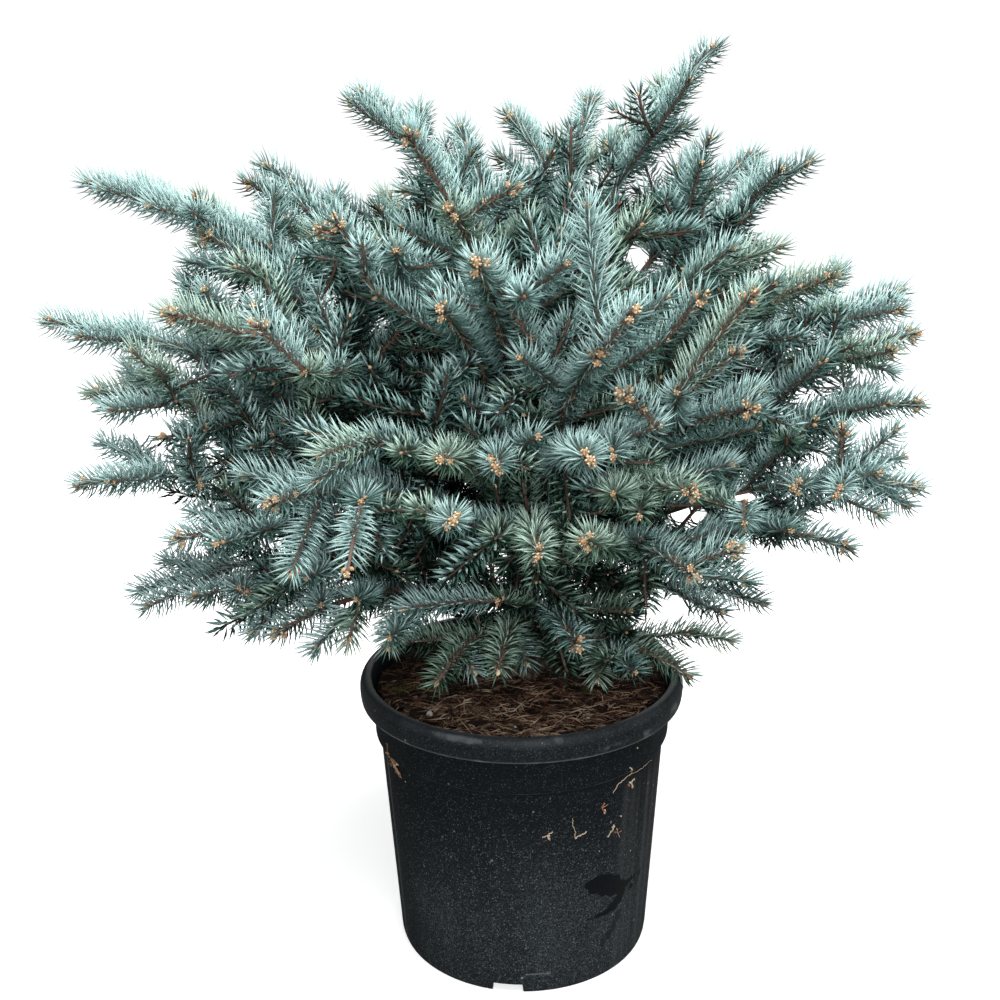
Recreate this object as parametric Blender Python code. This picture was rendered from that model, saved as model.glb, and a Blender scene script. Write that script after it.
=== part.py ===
"""A dwarf blue spruce in a black nursery pot, at real size, in metres, with +Z up.

The pot stands on its flat underside at the origin and is filled with potting soil. A short trunk rises from the
soil, and branches leave it in tiers. The longest branches have a bough of their own, which ends where its mass of
needles begins. Each mass is one closed body: a stem with side shoots, and on all of them rings of stout spikes that
stand for sprays of needles.
"""

import math
import random
from bisect import bisect

import bmesh
import bpy
import numpy as np
from mathutils import Vector

UP = Vector((0, 0, 1))
GAP = 0.0003  # between pieces that touch on the real plant

# Pot: a 25 litre nursery pot, with a deep rim and a nesting band under it.
POT_HEIGHT = 0.320
RIM_RADIUS = 0.180
RIM_DEPTH = 0.026
LIP_RADIUS = 0.167
BAND_RADIUS = 0.166
BAND_DEPTH = 0.068  # from the rim's top down to the step under the nesting band
STEP_RADIUS = 0.159
FOOT_RADIUS = 0.143
WALL = 0.003
FLOOR = 0.004
CHANNEL_HEIGHT = 0.012  # of the drainage channel round the underside
FOOT_WIDTH = 0.008
DISC_RADIUS = 0.095  # of the flat middle that the pot stands on
POT_SEGMENTS = 40
NOTCHES = 4
NOTCH_WIDTH = 0.036
NOTCH_DEPTH = 0.018
NOTCH_TURN = math.radians(262)  # the direction of the first notch

# Soil, heaped a little towards the trunk.
SOIL_EDGE = 0.303
SOIL_TOP = 0.317
SOIL_FLAT = 0.040
SOIL_SLOPE_RADIUS = 0.095
SOIL_SLOPE_DROP = 0.006

# Trunk
TRUNK_FOOT = SOIL_TOP + GAP
TRUNK_TOP = 0.690
TRUNK_LEAN = Vector((0.030, 0.018, 0))  # of its top over its foot
TRUNK_RADII = (0.021, 0.008)
TRUNK_SIDES = 12
TRUNK_RINGS = 10
FLARE = 0.011
FLARE_HEIGHT = 0.022
ROOT_LOBES = 5
LOBE_SHARE = 0.14

# Branches. Each row is the direction in degrees (0 is +X, 90 is +Y), then the reach and the height of the last bud.
TIERS = {
    "top": (
        (34, 0.265, 0.980),
        (66, 0.22, 0.93),
        (108, 0.20, 0.90),
        (134, 0.245, 0.938),
        (252, 0.20, 0.835),
    ),
    "upper": (
        (12, 0.315, 0.862),
        (34, 0.33, 0.865),
        (80, 0.34, 0.82),
        (118, 0.34, 0.82),
        (153, 0.31, 0.862),
        (173, 0.45, 0.850),
        (228, 0.26, 0.82),
        (263, 0.30, 0.80),
        (342, 0.315, 0.762),
        (288, 0.20, 0.815),
    ),
    "middle": (
        (3, 0.40, 0.730),
        (45, 0.42, 0.68),
        (90, 0.42, 0.67),
        (132, 0.42, 0.68),
        (183, 0.48, 0.718),
        (213, 0.37, 0.75),
        (256, 0.28, 0.76),
        (282, 0.30, 0.725),
        (310, 0.31, 0.665),
        (359, 0.41, 0.690),
    ),
    "lower": (
        (184, 0.44, 0.645),
        (192, 0.45, 0.565),
        (207, 0.37, 0.53),
        (233, 0.36, 0.60),
        (256, 0.29, 0.635),
        (279, 0.33, 0.645),
        (298, 0.31, 0.600),
        (353, 0.41, 0.625),
        (348, 0.41, 0.548),
        (30, 0.38, 0.52),
        (90, 0.38, 0.51),
        (152, 0.40, 0.54),
    ),
    "skirt": (
        (180, 0.42, 0.415),
        (218, 0.30, 0.44),
        (245, 0.20, 0.385),
        (272, 0.30, 0.555),
        (262, 0.18, 0.395),
        (284, 0.21, 0.43),
        (300, 0.30, 0.52),
        (343, 0.345, 0.490),
        (350, 0.26, 0.41),
        (328, 0.20, 0.355),
        (60, 0.27, 0.42),
        (125, 0.27, 0.42),
    ),
}
ARCH = {"top": 0.22, "upper": 0.16, "middle": 0.14, "lower": 0.20, "skirt": 0.26}  # rise of a line's bend
FEET = (0.344, 0.590)  # the least heights at which the lowest and the highest branch leave the trunk
FOOT_STEP = 0.003
FOOT_CLEAR = 0.0012  # between two limbs where they leave the trunk
MAIN_BOUGHS = 8  # the longest branches, which have a bough of their own
BARE_SHARE = 0.45  # of a branch's line, from the trunk to its needles
BOUGH_RADII = (0.0070, 0.0044)
BOUGH_RINGS = 6
BOUGH_SIDES = 6
STEM_RADIUS = 0.0044
TWIG_RADIUS = 0.0028
SAMPLE_STEP = 0.008  # between the points that stand for a line of wood
FINE_STEP = 0.004
SEED = 38

# Side shoots leave a stem in pairs. Each row is a node: how far back from the tip it lies, how long its shoots are,
# and how far round the stem each of the two stands, in degrees up from the stem's right-hand side.
NODES = (
    (0.100, 0.095, (5, 175)),
    (0.185, 0.135, (40, 205)),
    (0.265, 0.140, (-20, 140)),
)
NODE_SHIFT = 0.012
ROLL_SPREAD = 16
SHOOT_ANGLES = (44, 58)  # to the stem, in degrees
SHOOT_SIZES = (0.85, 1.12)
SHORT_SIDES = {"top_1": (0, 1), "top_4": (2, 3), "upper_5": (0,), "upper_6": (2, 4), "middle_5": (0,)}  # by branch
SHORT_SHARE = 0.45  # of its length that a short side shoot keeps
SHOOT_PIECES = 16
SHOOT_TURN = 0.25  # how far a shoot's outer half turns towards its stem's heading
SHOOT_LIFT = 0.12
INNER_LENGTH = 0.030  # of a side shoot, near its stem, where other wood may lie close
WOOD_CLEAR = 0.027  # between the wood of two masses
LIMB_CLEAR = 0.014  # between a side shoot and a bare limb
POT_CLEAR = 0.014

# Sprays of needles
SPIKE_REACH = 0.026
SPIKE_SWEEP = 0.6  # how far a spike leans forward, for each unit that it stands out
SPIKE_SHRINK = 0.85  # each time that a spike is too near to another mass
SPIKE_SPREAD = (0.88, 1.06)
SPIKE_CLEAR = 0.002
END_FULLNESS = 0.8  # of the first and the last ring of spikes
CORE_RADIUS = 0.0065
CORE_SPREAD = (0.85, 1.15)
RING_STEP = 0.0262
RING_TWIST = math.radians(22)
RING_SIDES = 4
BARE_STEP = 0.050  # between rings on bare wood
TIP_SHARE = 0.4  # of a ring's step, from the last ring to the tip
NECK = 0.014  # of bare twig where a side shoot leaves its stem
COLLAR = 0.012  # of bare stem past a bough's end


class Line:
    """A smooth bent line, measured along its own length."""

    def __init__(self, foot, bend, tip, pieces=48):
        shares = [i / pieces for i in range(pieces + 1)]
        self.points = [(1 - t) ** 2 * foot + 2 * t * (1 - t) * bend + t * t * tip for t in shares]
        self.marks = [0.0]
        for a, b in zip(self.points, self.points[1:]):
            self.marks.append(self.marks[-1] + (b - a).length)
        self.length = self.marks[-1]

    def piece(self, distance):
        """The number of the straight piece that holds this distance."""
        return min(max(bisect(self.marks, distance) - 1, 0), len(self.points) - 2)

    def point(self, distance):
        i = self.piece(distance)
        share = (distance - self.marks[i]) / (self.marks[i + 1] - self.marks[i])
        return self.points[i].lerp(self.points[i + 1], share)

    def heading(self, distance):
        i = self.piece(distance)
        return (self.points[i + 1] - self.points[i]).normalized()

    def samples(self, start, stop, step=SAMPLE_STEP):
        """Points at even steps between two distances."""
        count = max(2, round((stop - start) / step))
        return [self.point(start + (stop - start) * i / count) for i in range(count + 1)]


def shorter(line, share):
    """The first part of a line."""
    stop = line.length * share
    return Line(line.point(0), line.point(stop / 2), line.point(stop), SHOOT_PIECES)


def as_rows(points):
    return np.array([tuple(point) for point in points])


def nearest(points, others):
    """The least distance between two sets of points."""
    return np.sqrt(((points[:, None] - others[None]) ** 2).sum(axis=2)).min()


def trunk_share(height):
    return (height - TRUNK_FOOT) / (TRUNK_TOP - TRUNK_FOOT)


def trunk_centre(height):
    return Vector((0, 0, height)) + TRUNK_LEAN * trunk_share(height) ** 2


def lowest_foot(height):
    """The least height of a branch's foot: the higher its last bud, the higher its foot."""
    heights = [row[2] for rows in TIERS.values() for row in rows]
    share = (height - min(heights)) / (max(heights) - min(heights))
    return FEET[0] + (FEET[1] - FEET[0]) * share


class Branch:
    """A branch's line, from the middle of the trunk to its last bud, and the side shoots found for it."""

    def __init__(self, tier, number, azimuth, reach, height):
        self.name = f"{tier}_{number}"
        self.arch = ARCH[tier]
        turn = math.radians(azimuth)
        self.tip = Vector((reach * math.cos(turn), reach * math.sin(turn), height))
        self.rng = random.Random(f"{SEED} {self.name}")
        self.has_bough = False
        self.sides = []
        self.set_foot(lowest_foot(height))

    def set_foot(self, height):
        self.foot_height = height
        foot = trunk_centre(height)
        bend = (foot + self.tip) / 2 + UP * self.arch * (self.tip - foot).length
        self.line = Line(foot, bend, self.tip)
        self.start = self.line.length * BARE_SHARE

    def radius(self):
        """The thickness of the limb where it leaves the trunk."""
        return BOUGH_RADII[0] if self.has_bough else STEM_RADIUS

    def wood(self):
        """Points on the wood that this mass's needles grow on."""
        points = self.line.samples(self.start, self.line.length)
        for side in self.sides:
            points += side.samples(0, side.length)
        return points

    def limb(self):
        """Points on the bare wood between the trunk and the needles."""
        return self.line.samples(0, self.start)

    def outer_limb(self):
        """Close points on the bare wood outside the trunk."""
        inside = TRUNK_RADII[0] - (TRUNK_RADII[0] - TRUNK_RADII[1]) * trunk_share(self.foot_height)
        return self.line.samples(inside, self.start, FINE_STEP)


def settle_feet(branches):
    """Moves each foot up the trunk, from the lowest branch on, until its limb is clear of those below."""
    settled = []
    for branch in sorted(branches, key=lambda b: b.tip.z):
        while any(
            nearest(as_rows(branch.outer_limb()), as_rows(other.outer_limb()))
            < branch.radius() + other.radius() + FOOT_CLEAR
            for other in settled
        ):
            branch.set_foot(branch.foot_height + FOOT_STEP)
        settled.append(branch)


def make_branches():
    branches = [Branch(tier, i + 1, *row) for tier, rows in TIERS.items() for i, row in enumerate(rows)]
    for branch in sorted(branches, key=lambda b: b.line.length, reverse=True)[:MAIN_BOUGHS]:
        branch.has_bough = True
    settle_feet(branches)
    return branches


def side_line(branch, back, angle, roll, length):
    """A side shoot that leaves the stem some way back from its tip, and lifts a little along its length."""
    distance = branch.line.length - back
    heading = branch.line.heading(distance)
    across = heading.cross(UP).normalized()
    outward = across * math.cos(roll) + across.cross(heading) * math.sin(roll)
    foot = branch.line.point(distance)
    aim = heading * math.cos(angle) + outward * math.sin(angle)
    bend = foot + aim * length / 2
    tip = bend + (aim + heading * SHOOT_TURN + UP * SHOOT_LIFT).normalized() * length / 2
    return Line(foot, bend, tip, SHOOT_PIECES)


def node_shoots(branch, node):
    """The side shoots that could grow at one node of a branch."""
    back, length, rolls = node
    shoots = []
    for roll in rolls:
        turn = math.radians(roll + branch.rng.uniform(-ROLL_SPREAD, ROLL_SPREAD))
        angle = math.radians(branch.rng.uniform(*SHOOT_ANGLES))
        place = back + branch.rng.uniform(-NODE_SHIFT, NODE_SHIFT)
        size = length * branch.rng.uniform(*SHOOT_SIZES)
        if branch.line.length - place > branch.start:
            shoots.append(side_line(branch, place, angle, turn, size))
    return shoots


def clear_of_pot(points, margin):
    """Whether the points keep this far from the pot's rim and from the soil."""
    over_pot = np.hypot(points[:, 0], points[:, 1]) < RIM_RADIUS + margin
    return not np.any(over_pot & (points[:, 2] < POT_HEIGHT + margin))


def grow(branches):
    """Gives each branch its side shoots, node by node, and skips any that would crowd another branch."""
    for node in NODES:
        for branch in branches:
            rest = [other for other in branches if other is not branch]
            wood = as_rows(point for other in rest for point in other.wood())
            limbs = as_rows(point for other in rest for point in other.limb())
            for shoot in node_shoots(branch, node):
                outer = as_rows(shoot.samples(INNER_LENGTH, shoot.length))
                has_room = nearest(outer, wood) > WOOD_CLEAR and nearest(outer, limbs) > LIMB_CLEAR
                if has_room and clear_of_pot(outer, POT_CLEAR):
                    branch.sides.append(shoot)
    for branch in branches:
        for i in SHORT_SIDES.get(branch.name, ()):
            branch.sides[i] = shorter(branch.sides[i], SHORT_SHARE)


def frames(points):
    """At each point a heading and two directions across it, turned as little as possible from one to the next."""
    last = len(points) - 1
    headings = [(points[min(i + 1, last)] - points[max(i - 1, 0)]).normalized() for i in range(last + 1)]
    across = headings[0].orthogonal().normalized()
    result = []
    for heading in headings:
        across = (across - heading * across.dot(heading)).normalized()
        result.append((heading, across, heading.cross(across)))
    return result


def skin(rings, tip=None):
    """A closed mesh over rings of corners, with a flat foot and a flat or pointed end.

    The corners stand out by turns where a ring bears spikes, and each four-sided face is split from one hollow to
    the other, which gives every spike four sides of its own.
    """
    mesh = bmesh.new()
    rows = [[mesh.verts.new(corner) for corner in ring] for ring in rings]
    sides = len(rows[0])
    for i, (low, high) in enumerate(zip(rows, rows[1:])):
        for j in range(sides):
            k = (j + 1) % sides
            if (i + j) % 2:
                mesh.faces.new((low[j], low[k], high[k]))
                mesh.faces.new((low[j], high[k], high[j]))
            else:
                mesh.faces.new((low[j], low[k], high[j]))
                mesh.faces.new((low[k], high[k], high[j]))
    mesh.faces.new(rows[0][::-1])
    if tip is None:
        mesh.faces.new(rows[-1])
    else:
        point = mesh.verts.new(tip)
        for j in range(sides):
            mesh.faces.new((rows[-1][j], rows[-1][(j + 1) % sides], point))
    return mesh


def object_of(name, mesh, material):
    """Makes an object of a bmesh."""
    bmesh.ops.recalc_face_normals(mesh, faces=mesh.faces)
    data = bpy.data.meshes.new(name)
    mesh.to_mesh(data)
    mesh.free()
    data.materials.append(material)
    thing = bpy.data.objects.new(name, data)
    bpy.context.scene.collection.objects.link(thing)
    return thing


def make_bough(branch, material):
    """One tapering limb, from the middle of the trunk to where the needles begin."""
    shares = [i / (BOUGH_RINGS - 1) for i in range(BOUGH_RINGS)]
    points = [branch.line.point(branch.start * share) for share in shares]
    turns = [2 * math.pi * j / BOUGH_SIDES for j in range(BOUGH_SIDES)]
    rings = []
    for share, point, (_, u, v) in zip(shares, points, frames(points)):
        radius = BOUGH_RADII[0] + (BOUGH_RADII[1] - BOUGH_RADII[0]) * share
        rings.append([point + (u * math.cos(turn) + v * math.sin(turn)) * radius for turn in turns])
    return object_of(f"bough_{branch.name}", skin(rings), material)


def spike_end(root, out, heading, reach, others):
    """The end of a spike, drawn in until it is nearer to its own wood than to any other."""
    while reach > CORE_RADIUS:
        end = root + out * reach + heading * reach * SPIKE_SWEEP
        spot = as_rows([end])
        own = (end - root).length
        if nearest(spot, others) > own + SPIKE_CLEAR and clear_of_pot(spot, SPIKE_CLEAR):
            return end
        reach *= SPIKE_SHRINK
    return root + out * CORE_RADIUS


def make_spray(name, line, start, bare, radius, others, rng, material):
    """A length of wood that is bare up to one distance and bears spikes from there to its tip, as one closed body."""
    bare_rings = math.ceil((bare - start) / BARE_STEP)
    spiky_rings = max(3, round((line.length - bare) / RING_STEP))
    places = [start + (bare - start) * i / bare_rings for i in range(bare_rings)]
    places += [bare + (line.length - bare) * i / (spiky_rings + TIP_SHARE) for i in range(spiky_rings + 1)]
    points = [line.point(place) for place in places]
    rings = []
    for i, (point, (heading, u, v)) in enumerate(zip(points, frames(points))):
        fullness = END_FULLNESS if i in (bare_rings + 1, len(points) - 1) else 1
        ring = []
        for j in range(RING_SIDES):
            turn = 2 * math.pi * j / RING_SIDES + RING_TWIST * i
            out = u * math.cos(turn) + v * math.sin(turn)
            if i <= bare_rings:
                ring.append(point + out * radius)
            elif (i + j) % 2:
                ring.append(point + out * CORE_RADIUS * rng.uniform(*CORE_SPREAD))
            else:
                reach = SPIKE_REACH * fullness * rng.uniform(*SPIKE_SPREAD)
                ring.append(spike_end(point, out, heading, reach, others))
        rings.append(ring)
    return object_of(name, skin(rings, line.point(line.length)), material)


def apply(thing, modifier):
    with bpy.context.temp_override(object=thing, active_object=thing):
        bpy.ops.object.modifier_apply(modifier=modifier.name)


def cut(thing, cutter):
    """Takes a cutter's shape out of a piece."""
    modifier = thing.modifiers.new("Cut", "BOOLEAN")
    modifier.object = cutter
    apply(thing, modifier)


def fuse(thing, others):
    """Joins closed bodies to a piece by one Boolean union on a collection."""
    group = bpy.data.collections.new(thing.name + "_sprays")
    bpy.context.scene.collection.children.link(group)
    for other in others:
        bpy.context.scene.collection.objects.unlink(other)
        group.objects.link(other)
    union = thing.modifiers.new("Union", "BOOLEAN")
    union.operation = "UNION"
    union.operand_type = "COLLECTION"
    union.collection = group
    apply(thing, union)
    for other in others:
        bpy.data.objects.remove(other)
    bpy.data.collections.remove(group)


def keep_largest_shell(thing):
    """Drops loose scraps and fills sealed hollows."""
    mesh = bmesh.new()
    mesh.from_mesh(thing.data)
    unseen = set(mesh.verts)
    shells = []
    while unseen:
        shell = {unseen.pop()}
        front = list(shell)
        while front:
            front = list({edge.other_vert(vert) for vert in front for edge in vert.link_edges} - shell)
            shell.update(front)
        unseen -= shell
        shells.append(shell)
    shells.sort(key=len)
    for shell in shells[:-1]:
        bmesh.ops.delete(mesh, geom=list(shell), context="VERTS")
    mesh.to_mesh(thing.data)
    mesh.free()


def make_mass(branch, others, material):
    """A branch's needles: its stem and side shoots, with their spikes, fused into one body."""
    start = branch.start + GAP if branch.has_bough else 0
    bare = branch.start + COLLAR
    mass = make_spray(f"needles_{branch.name}", branch.line, start, bare, STEM_RADIUS, others, branch.rng, material)
    sides = []
    for side in branch.sides:
        sides.append(make_spray("side", side, 0, NECK, TWIG_RADIUS, others, branch.rng, material))
    if sides:
        fuse(mass, sides)
    return mass


def turned(name, outline, material):
    """Turns an outline of radii and heights, from the axis out and back to it, about the Z axis."""
    mesh = bmesh.new()
    corners = [mesh.verts.new((radius, 0, height)) for radius, height in outline]
    edges = [mesh.edges.new(pair) for pair in zip(corners, corners[1:])]
    full_turn = 2 * math.pi
    bmesh.ops.spin(mesh, geom=corners + edges, axis=UP, angle=full_turn, steps=POT_SEGMENTS, use_merge=True)
    bmesh.ops.remove_doubles(mesh, verts=mesh.verts, dist=1e-6)
    thing = object_of(name, mesh, material)
    thing.data.shade_smooth()
    thing.data.set_sharp_from_angle(angle=math.radians(30))
    return thing


def notch_cutter(material):
    """Wedges that cut the drainage notches out of the pot's foot."""
    mesh = bmesh.new()
    low, high = -0.01, CHANNEL_HEIGHT - 0.001
    for i in range(NOTCHES):
        turn = NOTCH_TURN + 2 * math.pi * i / NOTCHES
        out = Vector((math.cos(turn), math.sin(turn), 0))
        across = out.cross(UP) * NOTCH_WIDTH / 2
        middle = out * (FOOT_RADIUS - FOOT_WIDTH / 2)
        near, far = (
            [
                mesh.verts.new(middle + out * side * NOTCH_DEPTH / 2 + across * width + UP * height)
                for width, height in ((-1, low), (1, low), (0.88, high), (-0.88, high))
            ]
            for side in (-1, 1)
        )
        mesh.faces.new(near)
        mesh.faces.new(far[::-1])
        for j in range(4):
            k = (j + 1) % 4
            mesh.faces.new((near[k], near[j], far[j], far[k]))
    return object_of("notch_cutter", mesh, material)


def make_pot(material):
    step = POT_HEIGHT - BAND_DEPTH
    skirt = POT_HEIGHT - RIM_DEPTH
    floor = CHANNEL_HEIGHT + FLOOR
    outline = (
        (0, 0),
        (DISC_RADIUS, 0),
        (DISC_RADIUS + 0.006, CHANNEL_HEIGHT),
        (FOOT_RADIUS - FOOT_WIDTH - 0.002, CHANNEL_HEIGHT),
        (FOOT_RADIUS - FOOT_WIDTH, 0),
        (FOOT_RADIUS - 0.003, 0),
        (FOOT_RADIUS, 0.004),
        (STEP_RADIUS, step - 0.003),
        (STEP_RADIUS + 0.005, step),
        (BAND_RADIUS, skirt),
        (RIM_RADIUS - 0.001, skirt),
        (RIM_RADIUS, POT_HEIGHT - 0.006),
        (RIM_RADIUS - 0.005, POT_HEIGHT),
        (LIP_RADIUS, POT_HEIGHT),
        (BAND_RADIUS - WALL, skirt),
        (STEP_RADIUS - WALL, step - 0.003),
        (FOOT_RADIUS - WALL, floor),
        (0, floor),
    )
    pot = turned("pot", outline, material)
    cutter = notch_cutter(material)
    cut(pot, cutter)
    bpy.data.objects.remove(cutter)


def make_soil(material):
    floor = CHANNEL_HEIGHT + FLOOR + GAP
    inset = WALL + GAP
    outline = (
        (0, floor),
        (FOOT_RADIUS - inset, floor),
        (STEP_RADIUS - inset, POT_HEIGHT - BAND_DEPTH - 0.003),
        (BAND_RADIUS - inset, POT_HEIGHT - RIM_DEPTH),
        (BAND_RADIUS - inset, SOIL_EDGE),
        (SOIL_SLOPE_RADIUS, SOIL_TOP - SOIL_SLOPE_DROP),
        (SOIL_FLAT, SOIL_TOP),
        (0, SOIL_TOP),
    )
    turned("soil", outline, material)


def make_trunk(name, extra, material):
    """The trunk with its root flare, or a copy that is thicker all over by an extra amount."""
    rings = []
    for i in range(TRUNK_RINGS):
        height = TRUNK_FOOT + (TRUNK_TOP - TRUNK_FOOT) * (i / (TRUNK_RINGS - 1)) ** 1.5
        flare = math.exp(-(((height - TRUNK_FOOT) / FLARE_HEIGHT) ** 1.5))
        radius = TRUNK_RADII[0] + (TRUNK_RADII[1] - TRUNK_RADII[0]) * trunk_share(height) + FLARE * flare
        ring = []
        for j in range(TRUNK_SIDES):
            turn = 2 * math.pi * j / TRUNK_SIDES
            lobes = 1 + LOBE_SHARE * flare * math.cos(ROOT_LOBES * turn)
            out = Vector((math.cos(turn), math.sin(turn), 0))
            ring.append(trunk_centre(height) + out * (radius * lobes + extra))
        rings.append(ring)
    return object_of(name, skin(rings), material)


def make_material(name, colour, roughness):
    material = bpy.data.materials.new(name)
    material.use_nodes = True
    shader = material.node_tree.nodes["Principled BSDF"]
    shader.inputs["Base Color"].default_value = (*colour, 1)
    shader.inputs["Roughness"].default_value = roughness
    return material


def main():
    for thing in list(bpy.data.objects):
        bpy.data.objects.remove(thing)
    plastic = make_material("black_plastic", (0.020, 0.024, 0.026), 0.5)
    earth = make_material("potting_soil", (0.060, 0.035, 0.020), 0.95)
    bark = make_material("bark", (0.16, 0.09, 0.05), 0.9)
    needles = make_material("blue_needles", (0.19, 0.33, 0.33), 0.6)

    make_pot(plastic)
    make_soil(earth)
    make_trunk("trunk", 0, bark)
    trunk_cutter = make_trunk("trunk_cutter", GAP, bark)

    branches = make_branches()
    grow(branches)
    core = as_rows(trunk_centre(TRUNK_FOOT + (TRUNK_TOP - TRUNK_FOOT) * i / 30) for i in range(31))
    for branch in branches:
        rest = [other for other in branches if other is not branch]
        others = np.concatenate([core, as_rows(point for other in rest for point in other.wood() + other.limb())])
        mass = make_mass(branch, others, needles)
        at_trunk = mass
        if branch.has_bough:
            at_trunk = make_bough(branch, bark)
        cut(at_trunk, trunk_cutter)
        keep_largest_shell(at_trunk)
        keep_largest_shell(mass)
    bpy.data.objects.remove(trunk_cutter)


if __name__ == "__main__":
    main()
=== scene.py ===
"""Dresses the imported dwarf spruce: a finer pot, soil with litter, limbs with bark, needled shoots and buds.

The shoots follow the rule that the solid masses are grown by, and are then carried on to finer twigs. Every
needle, bud and fibre is a closed mesh of a few faces, and those of one kind in one tier of the crown are one
piece.
"""

import math
import random
from bisect import bisect

import bpy
import numpy as np
from mathutils import Matrix, Vector


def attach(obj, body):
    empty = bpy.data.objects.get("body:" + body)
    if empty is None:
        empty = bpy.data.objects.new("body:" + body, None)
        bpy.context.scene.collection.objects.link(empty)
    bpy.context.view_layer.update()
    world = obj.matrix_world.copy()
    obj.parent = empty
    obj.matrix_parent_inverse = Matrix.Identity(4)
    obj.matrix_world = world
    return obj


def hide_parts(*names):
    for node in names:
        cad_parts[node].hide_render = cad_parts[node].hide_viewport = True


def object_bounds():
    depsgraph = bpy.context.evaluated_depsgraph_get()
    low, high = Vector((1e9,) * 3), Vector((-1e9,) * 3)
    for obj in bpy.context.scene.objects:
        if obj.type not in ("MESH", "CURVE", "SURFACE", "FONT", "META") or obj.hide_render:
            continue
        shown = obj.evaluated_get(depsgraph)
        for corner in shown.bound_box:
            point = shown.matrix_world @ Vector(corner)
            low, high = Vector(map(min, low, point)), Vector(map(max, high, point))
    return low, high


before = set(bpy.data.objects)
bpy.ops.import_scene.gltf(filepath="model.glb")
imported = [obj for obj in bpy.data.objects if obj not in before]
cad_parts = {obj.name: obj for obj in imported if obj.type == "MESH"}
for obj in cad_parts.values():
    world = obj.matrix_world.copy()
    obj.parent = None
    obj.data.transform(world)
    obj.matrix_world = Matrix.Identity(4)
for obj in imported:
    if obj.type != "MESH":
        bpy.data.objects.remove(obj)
cad_low, cad_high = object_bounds()

UP = Vector((0, 0, 1))
GAP = 0.0003

# Pot: a 25 litre nursery pot, with a deep rim and a nesting band under it.
POT_HEIGHT = 0.320
RIM_RADIUS = 0.180
RIM_DEPTH = 0.026
LIP_RADIUS = 0.167
BAND_RADIUS = 0.166
BAND_DEPTH = 0.068  # from the rim's top down to the step under the nesting band
STEP_RADIUS = 0.159
FOOT_RADIUS = 0.143
WALL = 0.003
FLOOR = 0.004
CHANNEL_HEIGHT = 0.012  # of the drainage channel round the underside
FOOT_WIDTH = 0.008
DISC_RADIUS = 0.095  # of the flat middle that the pot stands on
POT_SEGMENTS = 192
NOTCHES = 4
NOTCH_WIDTH = 0.036
NOTCH_DEPTH = 0.018
NOTCH_TURN = math.radians(262)  # the direction of the first notch
NOTCH_TAPER = 0.12

# Soil, heaped a little towards the trunk.
SOIL_TOP = 0.317
SOIL_REACHES = (0, 0.040, 0.095, 0.163)  # distances from the pot's middle
SOIL_HEIGHTS = (0.3165, 0.3165, 0.3105, 0.3025)  # of the soil at each of them
SOIL_ROUGHNESS = 0.0011
SOIL_SEGMENTS = 160
SOIL_STEP = 0.0032  # between the rings of its surface

# Trunk
TRUNK_FOOT = SOIL_TOP + GAP
TRUNK_TOP = 0.690
TRUNK_LEAN = Vector((0.030, 0.018, 0))  # of its top over its foot
TRUNK_RADII = (0.021, 0.008)
TRUNK_RINGS = 90
FLARE = 0.011
FLARE_HEIGHT = 0.022
ROOT_LOBES = 5
LOBE_SHARE = 0.14
BARK_SCALES = 0.009
BARK_RELIEF = (0.0024, 0.0012)  # of the trunk and of a bough

# Branches. Each row is the direction in degrees (0 is +X, 90 is +Y), then the reach and height of the last
# bud.
TIERS = {
    "top": (
        (34, 0.265, 0.980),
        (66, 0.22, 0.93),
        (108, 0.20, 0.90),
        (134, 0.245, 0.938),
        (252, 0.20, 0.835),
    ),
    "upper": (
        (12, 0.315, 0.862),
        (34, 0.33, 0.865),
        (80, 0.34, 0.82),
        (118, 0.34, 0.82),
        (153, 0.31, 0.862),
        (173, 0.45, 0.850),
        (228, 0.26, 0.82),
        (263, 0.30, 0.80),
        (342, 0.315, 0.762),
        (288, 0.20, 0.815),
    ),
    "middle": (
        (3, 0.40, 0.730),
        (45, 0.42, 0.68),
        (90, 0.42, 0.67),
        (132, 0.42, 0.68),
        (183, 0.48, 0.718),
        (213, 0.37, 0.75),
        (256, 0.28, 0.76),
        (282, 0.30, 0.725),
        (310, 0.31, 0.665),
        (359, 0.41, 0.690),
    ),
    "lower": (
        (184, 0.44, 0.645),
        (192, 0.45, 0.565),
        (207, 0.37, 0.53),
        (233, 0.36, 0.60),
        (256, 0.29, 0.635),
        (279, 0.33, 0.645),
        (298, 0.31, 0.600),
        (353, 0.41, 0.625),
        (348, 0.41, 0.548),
        (30, 0.38, 0.52),
        (90, 0.38, 0.51),
        (152, 0.40, 0.54),
    ),
    "skirt": (
        (180, 0.42, 0.415),
        (218, 0.30, 0.44),
        (245, 0.20, 0.385),
        (272, 0.30, 0.555),
        (262, 0.18, 0.395),
        (284, 0.21, 0.43),
        (300, 0.30, 0.52),
        (343, 0.345, 0.490),
        (350, 0.26, 0.41),
        (328, 0.20, 0.355),
        (60, 0.27, 0.42),
        (125, 0.27, 0.42),
    ),
}
ARCH = {"top": 0.22, "upper": 0.16, "middle": 0.14, "lower": 0.20, "skirt": 0.26}  # of a line's bend
FEET = (0.344, 0.590)  # the least heights at which the lowest and the highest branch leave the trunk
FOOT_STEP = 0.003
FOOT_CLEAR = 0.0012  # between two limbs where they leave the trunk
MAIN_BOUGHS = 8  # the longest branches, which have a bough of their own
BARE_SHARE = 0.45  # of a branch's line, from the trunk to its needles
BOUGH_RADII = (0.0070, 0.0044)
BOUGH_RINGS = 40
STEM_RADIUS = 0.0044
SAMPLE_STEP = 0.008  # between the points that stand for a line of wood
FINE_STEP = 0.004
SEED = 38

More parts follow.
